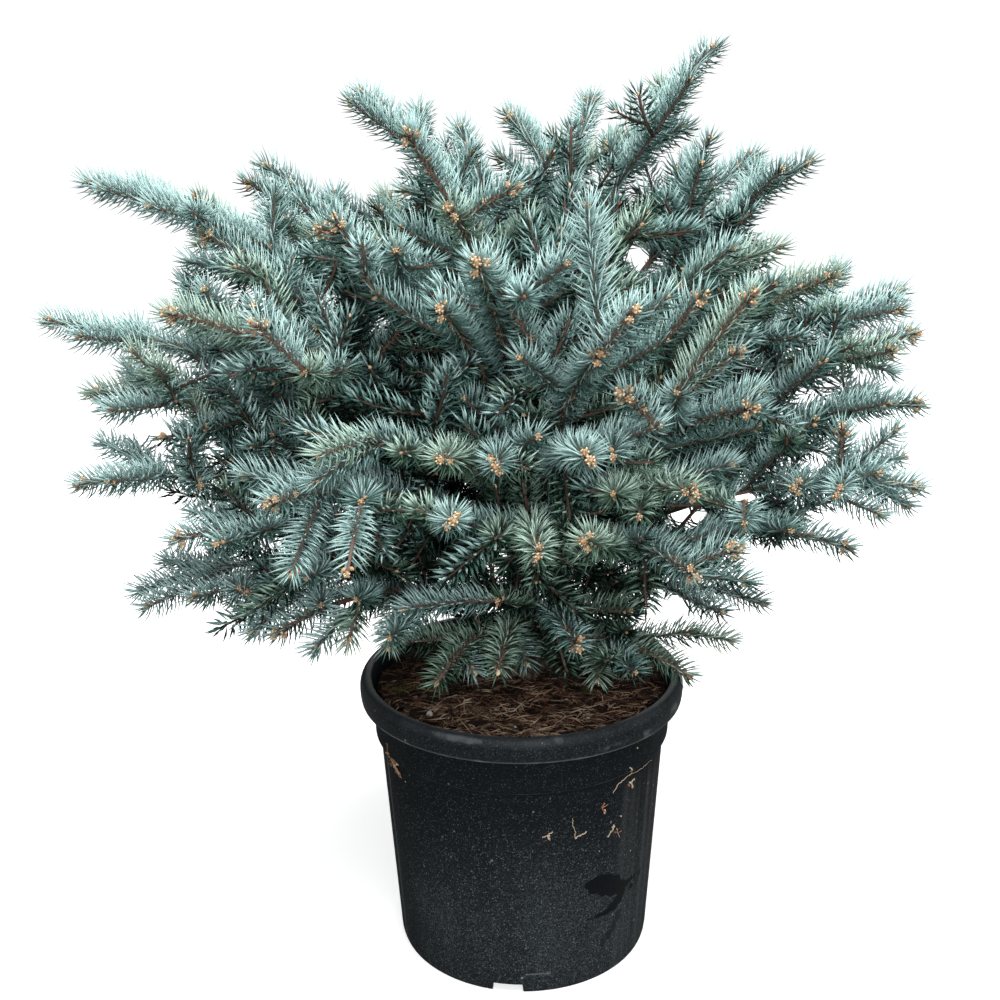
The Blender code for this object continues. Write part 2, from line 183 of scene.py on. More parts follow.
# Side shoots leave a stem in pairs. Each row is a node: how far back from the tip it lies, how long its
# shoots are, and how far round the stem each of the two stands, in degrees up from the right-hand side.
NODES = (
    (0.100, 0.095, (5, 175)),
    (0.185, 0.135, (40, 205)),
    (0.265, 0.140, (-20, 140)),
)
NODE_SHIFT = 0.012
ROLL_SPREAD = 16
SHOOT_ANGLES = (44, 58)  # to the stem, in degrees
SHOOT_SIZES = (0.85, 1.12)
SHOOT_PIECES = 16
SHOOT_TURN = 0.25  # how far a shoot's outer half turns towards its stem's heading
SHOOT_LIFT = 0.12
INNER_LENGTH = 0.030  # of a side shoot, near its stem, where other wood may lie close
WOOD_CLEAR = 0.027  # between the wood of two masses
LIMB_CLEAR = 0.014  # between a side shoot and a bare limb
POT_CLEAR = 0.014
NEARLY_UPRIGHT = 0.05  # the length of a heading's level part under which any direction is across it


def at(azimuth, reach, height):
    """A place, by its direction in degrees, its distance from the pot's middle and its height."""
    turn = math.radians(azimuth)
    return Vector((reach * math.cos(turn), reach * math.sin(turn), height))


class Line:
    """A smooth bent line, measured along its own length."""

    def __init__(self, foot, bend, tip, pieces=48):
        shares = [i / pieces for i in range(pieces + 1)]
        self.points = [(1 - t) ** 2 * foot + 2 * t * (1 - t) * bend + t * t * tip for t in shares]
        self.marks = [0.0]
        for a, b in zip(self.points, self.points[1:]):
            self.marks.append(self.marks[-1] + (b - a).length)
        self.length = self.marks[-1]

    def piece(self, distance):
        """The number of the straight piece that holds this distance."""
        return min(max(bisect(self.marks, distance) - 1, 0), len(self.points) - 2)

    def point(self, distance):
        i = self.piece(distance)
        share = (distance - self.marks[i]) / (self.marks[i + 1] - self.marks[i])
        return self.points[i].lerp(self.points[i + 1], share)

    def heading(self, distance):
        i = self.piece(distance)
        return (self.points[i + 1] - self.points[i]).normalized()

    def samples(self, start, stop, step=SAMPLE_STEP):
        """Points at even steps between two distances."""
        count = max(2, round((stop - start) / step))
        return [self.point(start + (stop - start) * i / count) for i in range(count + 1)]


def as_rows(points):
    return np.array([tuple(point) for point in points])


def nearest(points, others):
    """The least distance between two sets of points."""
    return np.sqrt(((points[:, None] - others[None]) ** 2).sum(axis=2)).min()


def trunk_share(height):
    return (height - TRUNK_FOOT) / (TRUNK_TOP - TRUNK_FOOT)


def trunk_centre(height):
    return Vector((0, 0, height)) + TRUNK_LEAN * trunk_share(height) ** 2


def lowest_foot(height):
    """The least height of a branch's foot: the higher its last bud, the higher its foot."""
    heights = [row[2] for rows in TIERS.values() for row in rows]
    share = (height - min(heights)) / (max(heights) - min(heights))
    return FEET[0] + (FEET[1] - FEET[0]) * share


class Branch:
    """A branch's line, from the middle of the trunk to its last bud, and the side shoots found for it."""

    def __init__(self, tier, number, azimuth, reach, height):
        self.name = f"{tier}_{number}"
        self.arch = ARCH[tier]
        self.tip = at(azimuth, reach, height)
        self.rng = random.Random(f"{SEED} {self.name}")
        self.has_bough = False
        self.sides = []
        self.set_foot(lowest_foot(height))

    def set_foot(self, height):
        self.foot_height = height
        foot = trunk_centre(height)
        bend = (foot + self.tip) / 2 + UP * self.arch * (self.tip - foot).length
        self.line = Line(foot, bend, self.tip)
        self.start = self.line.length * BARE_SHARE

    def radius(self):
        """The thickness of the limb where it leaves the trunk."""
        return BOUGH_RADII[0] if self.has_bough else STEM_RADIUS

    def wood(self):
        """Points on the wood that this mass's needles grow on."""
        points = self.line.samples(self.start, self.line.length)
        for side in self.sides:
            points += side.samples(0, side.length)
        return points

    def limb(self):
        """Points on the bare wood between the trunk and the needles."""
        return self.line.samples(0, self.start)

    def outer_limb(self):
        """Close points on the bare wood outside the trunk."""
        inside = TRUNK_RADII[0] - (TRUNK_RADII[0] - TRUNK_RADII[1]) * trunk_share(self.foot_height)
        return self.line.samples(inside, self.start, FINE_STEP)


def settle_feet(branches):
    """Moves each foot up the trunk, from the lowest branch on, until its limb is clear of those below."""
    settled = []
    for branch in sorted(branches, key=lambda b: b.tip.z):
        while any(
            nearest(as_rows(branch.outer_limb()), as_rows(other.outer_limb()))
            < branch.radius() + other.radius() + FOOT_CLEAR
            for other in settled
        ):
            branch.set_foot(branch.foot_height + FOOT_STEP)
        settled.append(branch)


def make_branches():
    branches = [Branch(tier, i + 1, *row) for tier, rows in TIERS.items() for i, row in enumerate(rows)]
    for branch in sorted(branches, key=lambda b: b.line.length, reverse=True)[:MAIN_BOUGHS]:
        branch.has_bough = True
    settle_feet(branches)
    return branches


def offshoot(parent, distance, angle, roll, length, turn, lift, pieces):
    """A line that leaves another one at an angle, turns towards its heading and lifts a little."""
    heading = parent.heading(distance)
    across = heading.cross(UP)
    if across.length < NEARLY_UPRIGHT:
        across = heading.orthogonal()
    across.normalize()
    outward = across * math.cos(roll) + across.cross(heading) * math.sin(roll)
    foot = parent.point(distance)
    aim = heading * math.cos(angle) + outward * math.sin(angle)
    bend = foot + aim * length / 2
    tip = bend + (aim + heading * turn + UP * lift).normalized() * length / 2
    return Line(foot, bend, tip, pieces)


def node_shoots(branch, node):
    """The side shoots that could grow at one node of a branch."""
    back, length, rolls = node
    shoots = []
    for roll in rolls:
        roll = math.radians(roll + branch.rng.uniform(-ROLL_SPREAD, ROLL_SPREAD))
        angle = math.radians(branch.rng.uniform(*SHOOT_ANGLES))
        place = branch.line.length - (back + branch.rng.uniform(-NODE_SHIFT, NODE_SHIFT))
        size = length * branch.rng.uniform(*SHOOT_SIZES)
        if place > branch.start:
            line = offshoot(branch.line, place, angle, roll, size, SHOOT_TURN, SHOOT_LIFT, SHOOT_PIECES)
            shoots.append(line)
    return shoots


def clear_of_pot(points, margin):
    """Whether the points keep this far from the pot's rim and from the soil."""
    over_pot = np.hypot(points[:, 0], points[:, 1]) < RIM_RADIUS + margin
    return not np.any(over_pot & (points[:, 2] < POT_HEIGHT + margin))


def grow(branches):
    """Gives each branch its side shoots, node by node, and skips any that would crowd another branch."""
    for node in NODES:
        for branch in branches:
            rest = [other for other in branches if other is not branch]
            wood = as_rows(point for other in rest for point in other.wood())
            limbs = as_rows(point for other in rest for point in other.limb())
            for shoot in node_shoots(branch, node):
                outer = as_rows(shoot.samples(INNER_LENGTH, shoot.length))
                has_room = nearest(outer, wood) > WOOD_CLEAR and nearest(outer, limbs) > LIMB_CLEAR
                if has_room and clear_of_pot(outer, POT_CLEAR):
                    branch.sides.append(shoot)

# Last year's shoots that stand out in front. Each row is the foot's direction in degrees, reach and height,
# then the tip's, then whether it is a leader with a cluster of buds, and how much greener it is.
FRONT_SHOOTS = (
    (172, 0.314, 0.810, 175, 0.329, 0.835, 1, 0),
    (201, 0.222, 0.739, 201, 0.314, 0.812, 1, -0.05),
    (200, 0.225, 0.746, 192, 0.325, 0.780, 0, 0.1),
    (195, 0.248, 0.791, 192, 0.240, 0.843, 0, -0.05),
    (239, 0.247, 0.767, 235, 0.273, 0.830, 1, 0),
    (230, 0.171, 0.763, 227, 0.210, 0.794, 1, 0),
    (239, 0.212, 0.788, 238, 0.231, 0.809, 0, 0),
    (233, 0.307, 0.704, 231, 0.351, 0.750, 1, 0),
    (213, 0.180, 0.662, 215, 0.226, 0.699, 1, 0),
    (209, 0.205, 0.695, 212, 0.226, 0.722, 0, 0),
    (196, 0.236, 0.635, 191, 0.327, 0.656, 0, 0.12),
    (192, 0.346, 0.567, 194, 0.322, 0.619, 0, 0),
    (183, 0.296, 0.586, 193, 0.299, 0.585, 0, 0.2),
    (192, 0.346, 0.567, 200, 0.335, 0.569, 0, 0),
    (208, 0.270, 0.620, 216, 0.294, 0.573, 0, 0),
    (233, 0.299, 0.595, 237, 0.364, 0.544, 0, -0.1),
    (244, 0.313, 0.598, 247, 0.374, 0.557, 0, -0.1),
    (242, 0.275, 0.644, 239, 0.334, 0.641, 0, -0.1),
    (243, 0.269, 0.641, 237, 0.331, 0.615, 0, 0),
    (191, 0.312, 0.440, 201, 0.298, 0.454, 1, -0.05),
    (211, 0.230, 0.455, 221, 0.258, 0.463, 0, -0.05),
    (208, 0.250, 0.456, 210, 0.308, 0.430, 0, 0),
    (229, 0.236, 0.473, 224, 0.278, 0.426, 0, 0.25),
    (230, 0.241, 0.474, 231, 0.264, 0.438, 0, 0.25),
    (218, 0.162, 0.451, 227, 0.196, 0.408, 0, 0.1),
    (262, 0.165, 0.462, 240, 0.224, 0.467, 0, 0.05),
    (236, 0.130, 0.400, 250, 0.144, 0.376, 0, 0.1),
    (262, 0.079, 0.402, 272, 0.108, 0.372, 0, 0.15),
    (328, 0.096, 0.375, 311, 0.120, 0.345, 0, 0),
    (328, 0.104, 0.376, 323, 0.136, 0.356, 0, 0),
    (213, 0.188, 0.667, 238, 0.153, 0.752, 1, 0),
    (277, 0.221, 0.687, 263, 0.252, 0.794, 1, 0.03),
    (292, 0.299, 0.660, 285, 0.309, 0.693, 1, 0.05),
    (265, 0.218, 0.622, 265, 0.279, 0.628, 1, 0),
    (255, 0.263, 0.570, 259, 0.317, 0.590, 1, -0.05),
    (285, 0.272, 0.550, 279, 0.313, 0.570, 1, 0.1),
    (298, 0.232, 0.586, 291, 0.279, 0.577, 0, 0.15),
    (287, 0.264, 0.641, 284, 0.304, 0.640, 0, 0.05),
    (282, 0.300, 0.725, 285, 0.334, 0.764, 1, 0.05),
    (300, 0.267, 0.672, 305, 0.317, 0.720, 1, -0.1),
    (298, 0.278, 0.682, 305, 0.330, 0.769, 1, -0.1),
    (297, 0.270, 0.727, 300, 0.301, 0.767, 1, 0.05),
    (314, 0.210, 0.760, 320, 0.248, 0.795, 0, 0.05),
    (314, 0.210, 0.760, 329, 0.276, 0.794, 0, -0.05),
    (338, 0.232, 0.726, 337, 0.257, 0.753, 0, 0.05),
    (344, 0.332, 0.559, 343, 0.331, 0.613, 1, 0),
    (348, 0.306, 0.548, 337, 0.292, 0.558, 1, -0.05),
    (343, 0.336, 0.561, 334, 0.336, 0.560, 1, -0.1),
    (317, 0.278, 0.566, 309, 0.311, 0.563, 0, -0.05),
    (300, 0.281, 0.523, 306, 0.318, 0.544, 1, 0.05),
    (353, 0.282, 0.505, 345, 0.289, 0.503, 0, 0),
    (347, 0.175, 0.374, 349, 0.229, 0.367, 0, 0.1),
    (300, 0.300, 0.520, 307, 0.328, 0.514, 0, 0.15),
    (353, 0.333, 0.671, 353, 0.380, 0.658, 0, 0),
    (252, 0.182, 0.825, 244, 0.216, 0.898, 1, 0),
    (252, 0.178, 0.822, 269, 0.181, 0.852, 1, 0),
    (69, 0.091, 0.860, 94, 0.101, 0.914, 1, 0),
    (34, 0.138, 0.852, 27, 0.198, 0.900, 0, 0),
    (31, 0.132, 0.848, 35, 0.118, 0.882, 0, 0),
    (282, 0.300, 0.725, 280, 0.295, 0.842, 0, -0.25),
    (290, 0.124, 0.739, 288, 0.123, 0.808, 0, -0.2),
    (74, 0.088, 0.838, 100, 0.095, 0.870, 0, 0),
    (282, 0.300, 0.725, 290, 0.331, 0.772, 0, 0.05),
    (195, 0.311, 0.658, 195, 0.386, 0.699, 0, 0),
    (184, 0.303, 0.663, 177, 0.378, 0.685, 0, 0),
    (189, 0.327, 0.640, 187, 0.385, 0.664, 0, 0),
    (202, 0.266, 0.732, 206, 0.322, 0.762, 0, 0),
    (199, 0.306, 0.798, 203, 0.362, 0.838, 0, 0),
    (8, 0.138, 0.827, 10, 0.167, 0.858, 0, 0),
    (171, 0.384, 0.649, 173, 0.425, 0.658, 0, 0),
    (344, 0.294, 0.535, 344, 0.373, 0.525, 0, 0),
    (350, 0.329, 0.579, 348, 0.384, 0.606, 0, 0),
    (0, 0.346, 0.544, 0, 0.412, 0.556, 0, 0),
    (352, 0.349, 0.512, 350, 0.402, 0.524, 0, 0),
)

# Gaps that one can see through: each runs straight from a place at GAP_FRONT to one at GAP_BACK. A row is x
# and z in front, x and z at the back, and the gap's radius.
GAP_FRONT = -0.45
GAP_BACK = 0.42
GAP_WIDENS = (0.62, 0.62)  # its radius is this share in front, and grows by this share to the back
SEE_THROUGH = (
    (-0.272, 0.705, -0.517, 0.503, 0.008),
    (-0.259, 0.704, -0.492, 0.501, 0.009),
    (0.110, 0.637, 0.237, 0.368, 0.012),
    (0.120, 0.636, 0.258, 0.366, 0.010),
    (0.073, 0.821, 0.166, 0.731, 0.008),
    (0.083, 0.819, 0.184, 0.728, 0.009),
    (0.154, 0.648, 0.325, 0.391, 0.011),
    (-0.136, 0.573, -0.247, 0.240, 0.009),
    (0.107, 0.566, 0.232, 0.227, 0.011),
)
# The same, for places between the shoots where no twigs grow.
TWIG_FREE = (
    (-0.103, 0.894, -0.183, 0.875, 0.025),
    (-0.099, 0.865, -0.175, 0.817, 0.019),
    (-0.122, 0.877, -0.220, 0.842, 0.012),
    (-0.277, 0.790, -0.526, 0.669, 0.022),
    (-0.261, 0.774, -0.495, 0.639, 0.011),
    (-0.259, 0.614, -0.492, 0.323, 0.022),
    (-0.253, 0.641, -0.479, 0.375, 0.015),
    (-0.288, 0.648, -0.548, 0.390, 0.010),
    (0.113, 0.919, 0.243, 0.926, 0.015),
    (0.106, 0.886, 0.229, 0.859, 0.014),
    (0.121, 0.894, 0.259, 0.875, 0.012),
    (0.077, 0.944, 0.172, 0.975, 0.014),
    (0.167, 0.594, 0.351, 0.282, 0.015),
    (0.168, 0.576, 0.353, 0.247, 0.011),
    (0.193, 0.599, 0.401, 0.294, 0.010),
    (0.249, 0.722, 0.513, 0.536, 0.012),
    (-0.058, 0.917, -0.093, 0.921, 0.011),
    (0.164, 0.839, 0.345, 0.766, 0.011),
    (-0.173, 0.553, -0.320, 0.201, 0.012),
    (-0.128, 0.530, -0.232, 0.156, 0.012),
    (-0.186, 0.872, -0.347, 0.833, 0.010),
    (-0.190, 0.855, -0.355, 0.799, 0.010),
    (-0.273, 0.839, -0.519, 0.768, 0.014),
    (0.179, 0.811, 0.374, 0.712, 0.014),
    (0.200, 0.815, 0.415, 0.719, 0.009),
    (0.100, 0.915, 0.218, 0.917, 0.010),
    (-0.021, 0.896, -0.021, 0.879, 0.010),
    (-0.096, 0.859, -0.169, 0.807, 0.013),
    (-0.170, 0.553, -0.314, 0.203, 0.013),
    (0.045, 0.898, 0.110, 0.882, 0.008),
)

# Side shoots that stay short, by branch and by their order on it, and the share of their length that they
# keep.
SHORT_SIDES = {"top_1": (0, 1), "top_4": (2, 3), "upper_5": (0,), "upper_6": (2, 4), "middle_5": (0,)}
SHORT_SHARE = 0.45

# Where a stem's finer wood and its needles start, as shares of its line.
WOOD_FROM = 0.30
NEEDLES_FROM = 0.36

# The shoots in front
FRONT_ARCH = 0.05
FRONT_PIECES = 12
FRONT_SHIFT = 0.05  # how much paler they are than their row says
LOW_FRONT = 0.48  # under this height they are paler still: painted light against the shade of the crown above
LOW_PAINTED_LIGHT = 0.34

# Finer twigs: how far apart they leave a stem, how they stand, how long they are, and how close their wood
# may come to other wood.
TWIG_STEP = (0.024, 0.036)
TWIG_PIECES = 10
TWIG_TURN = 0.35
TWIG_LIFT = 0.14
TWIG_ANGLES = (38, 58)
TWIG_ROLL = 24
TWIG_CLEAR = 0.0170
TWIG_INNER = 0.024  # of a twig, near its stem, where other wood may lie close
TWIG_LEAST = 0.032
TWIG_POT_CLEAR = 0.010
SIDE_TWIG = (0.024, 0.46)  # of a side shoot's twig: its least length, and how much of the shoot left it adds
STEM_TWIGS = (0.060, 0.098)
STEM_UPRIGHTS = (0.048, 0.080)  # of the twigs on a stem's upper and under side
UPRIGHT_ROLLS = (90, 250)
FORKED_FROM = 0.058  # a twig this long has two of its own
FORK_PLACES = (0.30, 0.50)
FORK_SIZES = (0.50, 0.65)
FORK_ANGLES = (40, 55)
FORK_ROLL = 25
LEADER_BARE = 0.090  # of a leader, behind its tip, that has no twigs
SHOOT_BARE = 0.040
FRONT_LEADER_BARE = 0.05
FRONT_CLEAR = 0.0245  # between a twig and the outer part of a leader or of a side shoot
FRONT_FROM = 0.038  # of a twig, from its foot, where that holds
FRONT_STEM = 0.120  # of a stem, behind its tip, that twigs keep clear of
FRONT_SIDE = 0.30  # of a side shoot, from its foot, that they may come close to
OFFER_STEP = 0.006  # between the points that are tested
SEE_MARGIN = 0.006
FREE_MARGIN = 0.010
BOX_MARGIN = 0.014

# Short shoots that fill the crown, and plain ones that close its heart.
FILL_CLEARS = (0.0250, 0.0200, 0.0175)  # from the widest gaps on
FILL_TRIES = 1800
FILL_FROM = 0.15  # of the shoot that they grow from
FILL_TO = 0.72
FILL_ANGLES = (40, 75)
FILL_SIZES = (0.040, 0.078)
WITHIN = (0.110, 0.047)  # a filling shoot's tip lies this near to the middle of the wood about it
INNER_CLEAR = 0.0150
INNER_TRIES = 1500
INNER_DEPTH = 0.74  # as depth_of counts it
INNER_FROM = 0.44
INNER_TO = 0.95
INNER_ANGLES = (40, 80)
INNER_SIZES = (0.045, 0.075)
INNER_LIFT = 0.1
HEART = (-0.03, 0.03, 0.52)  # the middle of the crown, and how far it reaches from there
CROWN_REACH = (0.44, 0.37, 0.42)

# Needles
NEEDLES_PER_METRE = (1900, 1850, 1250, 1050, 800)  # by rank
SKIRT_DENSER = 1.2  # how many times more the twigs of the lowest tier have
LIMB_NEEDLES = 0.55  # the share of needles that a stem has before its own mass starts
NEEDLE_LENGTH = 0.0285
NEEDLE_SIZES = (1.0, 0.98, 0.88, 0.82, 0.86)  # by rank
NEEDLE_THICK = (0.00085, 0.00115, 0.00150)  # half of the width: of a fine, of a plain and of an inner needle
NEEDLE_SPREAD = math.radians(66)
NEEDLE_BOX = 0.011  # how far a needle may reach past the solids
GOLDEN = math.radians(137.5)

# Wood and buds
LAST_YEAR = 0.24  # of a stem, behind its tip, that has young bark
PEGS_LENGTH = 0.20
PEGS_PER_METRE = 1300
CLUSTERS_FROM = 0.42  # the height over which a leader has a cluster of buds

TONES = {
    "frost": (0.355, 0.520, 0.500),
    "blue": (0.228, 0.360, 0.343),
    "teal": (0.122, 0.222, 0.203),
    "green": (0.054, 0.116, 0.096),
    "shade": (0.008, 0.019, 0.015),
    "mint": (0.375, 0.515, 0.435),
    "sage": (0.245, 0.355, 0.285),
    "leaf": (0.125, 0.210, 0.155),
    "fern": (0.050, 0.102, 0.070),
}
BLUISH = ("frost", "blue", "teal", "green", "shade")
GREENISH = ("mint", "sage", "leaf", "fern", "shade")
# How much darker each rank's needles are: painted shade on the finer and inner twigs.
RANK_SHADE = (0.0, 0.0, 0.06, 0.12, 0.30)


# Small parts: sets of points and faces, gathered by piece name and made into meshes at the end.

class Heap:
    """Small parts of one kind, gathered as arrays and made into one mesh."""

    def __init__(self):
        self.points = []
        self.faces = []
        self.count = 0

    def add(self, points, faces):
        self.points.append(points)
        self.faces.append(faces + self.count)
        self.count += len(points)

    def piece(self, name, material, smooth=True):
        points = np.concatenate(self.points)
        faces = np.concatenate(self.faces)
        mesh = bpy.data.meshes.new(name)
        mesh.vertices.add(len(points))
        mesh.vertices.foreach_set("co", points.astype(np.float32).ravel())
        mesh.loops.add(faces.size)
        mesh.loops.foreach_set("vertex_index", faces.astype(np.int32).ravel())
        mesh.polygons.add(len(faces))
        mesh.polygons.foreach_set("loop_start", np.arange(0, faces.size, 3, dtype=np.int32))
        mesh.polygons.foreach_set("use_smooth", np.full(len(faces), smooth))
        mesh.materials.append(material)
        mesh.update(calc_edges=True)
        thing = bpy.data.objects.new(name, mesh)
        bpy.context.scene.collection.objects.link(thing)
        return thing


heaps = {}


def heap(*key):
    return heaps.setdefault(key, Heap())


def unit(rows):
    return rows / np.maximum(np.linalg.norm(rows, axis=-1, keepdims=True), 1e-9)


def frame_of(run):
    """Two directions across a run, at right angles to it and to each other."""
    side = unit(np.cross(run, (0.31, 0.17, 0.93)))
    return side, np.cross(run, side)


SPINDLE = np.array([(0, 2, 1), (0, 3, 2), (0, 1, 3), (1, 2, 4), (2, 3, 4), (3, 1, 4)])
BLADE = np.array([
    (0, 2, 1), (0, 1, 4), (0, 4, 3), (1, 2, 5), (1, 5, 4),
    (2, 0, 3), (2, 3, 5), (3, 4, 6), (4, 5, 6), (5, 3, 6),
])
BLADE_FOOT = 0.85  # how wide a needle is at its foot
THIRDS = (0.0, 2.0944, 4.1888)


def spindles(roots, mids, tips, thick):
    """Closed three-sided slivers, widest at their middles."""
    side, other = frame_of(unit(tips - roots))
    thick = np.broadcast_to(np.asarray(thick), (len(roots),))[:, None]
    ring = [mids + (side * math.cos(a) + other * math.sin(a)) * thick for a in THIRDS]
    points = np.stack([roots, *ring, tips], axis=1).reshape(-1, 3)
    return points, (SPINDLE[None] + 5 * np.arange(len(roots))[:, None, None]).reshape(-1, 3)


def blades(roots, mids, tips, thick):
    """Closed three-sided needles, of an even width up to their middles, where they bend, and then pointed."""
    side, other = frame_of(unit(mids - roots))
    spokes = [(side * math.cos(a) + other * math.sin(a)) * thick for a in THIRDS]
    rings = [roots + spoke * BLADE_FOOT for spoke in spokes] + [mids + spoke for spoke in spokes]
    points = np.stack([*rings, tips], axis=1).reshape(-1, 3)
    return points, (BLADE[None] + 7 * np.arange(len(roots))[:, None, None]).reshape(-1, 3)


def tube(points, radii, sides):
    """A closed tube along points, with a pointed end."""
    headings = unit(np.gradient(points, axis=0))
    across = np.cross(headings[0], (0.2, 0.9, 0.4))
    rows = []
    for point, heading, radius in zip(points, headings, radii):
        across = across - heading * across.dot(heading)
        across /= np.linalg.norm(across)
        other = np.cross(heading, across)
        turns = np.arange(sides) * 2 * math.pi / sides
        rows.append(point + (np.outer(np.cos(turns), across) + np.outer(np.sin(turns), other)) * radius)
    return lofted(rows, points[0], points[-1] + headings[-1] * radii[-1])


def lofted(rows, foot, end):
    """A closed skin over rings of points, from a foot to an end."""
    sides, last = len(rows[0]), (len(rows) - 1) * len(rows[0])
    faces = []
    for j in range(sides):
        k = (j + 1) % sides
        for low in range(0, last, sides):
            high = low + sides
            faces += [(low + j, low + k, high + k), (low + j, high + k, high + j)]
        faces += [(last + sides, k, j), (last + j, last + k, last + sides + 1)]
    return np.concatenate(rows + [np.array([foot, end])]), np.array(faces)


class Shoot:
    """A length of twig with its needles: its line, its rank, where wood and needles start, and its tone."""

    def __init__(self, branch, line, rank, foot=0.0, bare=0.006, leader=False, shift=0.0):
        self.branch = branch
        self.line = line
        self.rank = rank
        self.foot = foot
        self.bare = bare
        self.leader = leader
        self.shift = shift
        self.tier = branch.name.split("_")[0]

    def samples(self, start=0.0):
        return as_rows(self.line.samples(max(start, self.foot), self.line.length))


def shorter(line, share):
    """The first part of a line."""
    stop = line.length * share
    return Line(line.point(0), line.point(stop / 2), line.point(stop), TWIG_PIECES)


def twig_line(parent, distance, angle, roll, length, lift=TWIG_LIFT):
    return offshoot(parent, distance, math.radians(angle), roll, length, TWIG_TURN, lift, TWIG_PIECES)


def depth_of(place):
    """From 0 at the crown's heart to about 1 at its outside."""
    return math.hypot(*((value - middle) / reach for value, middle, reach in zip(place, HEART, CROWN_REACH)))


def in_gaps(points, gaps, margin=0.0):
    """Whether each point lies in one of the gaps."""
    share = ((points[:, 1] - GAP_FRONT) / (GAP_BACK - GAP_FRONT))[:, None]
    inside = np.zeros(len(points), bool)
    for front_x, front_z, back_x, back_z, radius in gaps:
        centre = (1 - share) * (front_x, front_z) + share * (back_x, back_z)
        wide = radius * (GAP_WIDENS[0] + GAP_WIDENS[1] * share[:, 0]) + margin
        inside |= np.linalg.norm(points[:, (0, 2)] - centre, axis=1) < wide
    return inside


def has_room(rows, others, clear):
    """Whether all the rows are further than this from the others."""
    near = others[np.all((others > rows.min(axis=0) - clear) & (others < rows.max(axis=0) + clear), axis=1)]
    return not len(near) or nearest(rows, near) > clear


class Crown:
    """All the shoots, and the test of whether one more has room."""

    def __init__(self, branches):
        self.shoots = []
        self.wood = np.zeros((0, 3))
        self.front = np.zeros((0, 3))
        for branch in branches:
            length = branch.line.length
            self.take(Shoot(branch, branch.line, 0, length * WOOD_FROM, length * NEEDLES_FROM, leader=True))
            for number, side in enumerate(branch.sides):
                short = number in SHORT_SIDES.get(branch.name, ())
                self.take(Shoot(branch, shorter(side, SHORT_SHARE) if short else side, 1))

    def take(self, shoot):
        self.shoots.append(shoot)
        self.wood = np.concatenate([self.wood, shoot.samples()])
        if shoot.rank < 2:
            length = shoot.line.length
            start = length - FRONT_STEM if shoot.rank == 0 else length * FRONT_SIDE
            self.front = np.concatenate([self.front, shoot.samples(start)])

    def offer(self, branch, line, rank, clear):
        """Takes a twig if it stays in the solids' box and clear of the gaps, the pot and the other wood."""
        outer = as_rows(line.samples(TWIG_INNER, line.length, OFFER_STEP))
        low, high = np.array(cad_low) + BOX_MARGIN, np.array(cad_high) - BOX_MARGIN
        if np.any(outer < low) or np.any(outer > high) or not clear_of_pot(outer, TWIG_POT_CLEAR):
            return
        if np.any(in_gaps(outer, SEE_THROUGH, SEE_MARGIN)) or np.any(in_gaps(outer, TWIG_FREE, FREE_MARGIN)):
            return
        end = outer[-1:]
        if line.length > FRONT_FROM + OFFER_STEP / 2:
            end = as_rows(line.samples(FRONT_FROM, line.length, OFFER_STEP))
        if has_room(outer, self.wood, clear) and has_room(end, self.front, FRONT_CLEAR):
            self.take(Shoot(branch, line, rank))

    def holds(self, place):
        """Whether a place has wood on all sides."""
        gaps = self.wood - np.array(place)
        near = gaps[np.einsum("ij,ij->i", gaps, gaps) < WITHIN[0] ** 2]
        return len(near) > 0 and np.linalg.norm(near.mean(axis=0)) < WITHIN[1]

    def nearest_wood(self, place):
        """The branch that has wood nearest to a place, and that point of its wood."""
        found = None
        for shoot in self.shoots:
            rows = shoot.samples(shoot.line.length * NEEDLES_FROM if shoot.rank == 0 else 0)
            gaps = np.linalg.norm(rows - np.array(place), axis=1)
            if found is None or gaps.min() < found[0]:
                found = (gaps.min(), shoot.branch, Vector(rows[gaps.argmin()]))
        return found[1:]


def grow_front(crown):
    """The shoots that stand out in front, each from the nearest stem."""
    placed = []
    for row in FRONT_SHOOTS:
        branch, foot = crown.nearest_wood(at(*row[:3]))
        tip = at(*row[3:6])
        line = Line(foot, (foot + tip) / 2 + UP * FRONT_ARCH * (tip - foot).length, tip, FRONT_PIECES)
        shift = row[7] - (LOW_PAINTED_LIGHT if tip.z < LOW_FRONT else FRONT_SHIFT)
        placed.append(Shoot(branch, line, 1, leader=bool(row[6]), shift=shift))
    for shoot in placed:
        crown.take(shoot)


def side_twigs(crown, shoot, rng):
    """Twigs along a side shoot, left and right by turns and longer towards its foot."""
    place = shoot.line.length - SHOOT_BARE * rng.uniform(0.9, 1.4)
    turn = rng.choice((0, 180))
    while place > 0.012:
        length = (SIDE_TWIG[0] + SIDE_TWIG[1] * (shoot.line.length - place)) * rng.uniform(0.85, 1.15)
        if length > TWIG_LEAST:
            put_twig(crown, shoot, place, turn, length, rng)
        turn += 180
        place -= rng.uniform(*TWIG_STEP)


def stem_twigs(crown, shoot, rng):
    """Twigs along a stem and its inner limb, in fours."""
    place = shoot.line.length - LEADER_BARE * rng.uniform(0.9, 1.4)
    turn = rng.choice((0, 180))
    while place > shoot.line.length * 0.12:
        for roll in (turn, turn + 180, *UPRIGHT_ROLLS):
            length = rng.uniform(*(STEM_UPRIGHTS if roll in UPRIGHT_ROLLS else STEM_TWIGS))
            put_twig(crown, shoot, place, roll, length, rng)
        turn += 180
        place -= rng.uniform(*TWIG_STEP)


def put_twig(crown, shoot, place, roll, length, rng):
    angle = rng.uniform(*TWIG_ANGLES)
    roll = math.radians(roll + rng.uniform(-TWIG_ROLL, TWIG_ROLL))
    crown.offer(shoot.branch, twig_line(shoot.line, place, angle, roll, length), 2, TWIG_CLEAR)


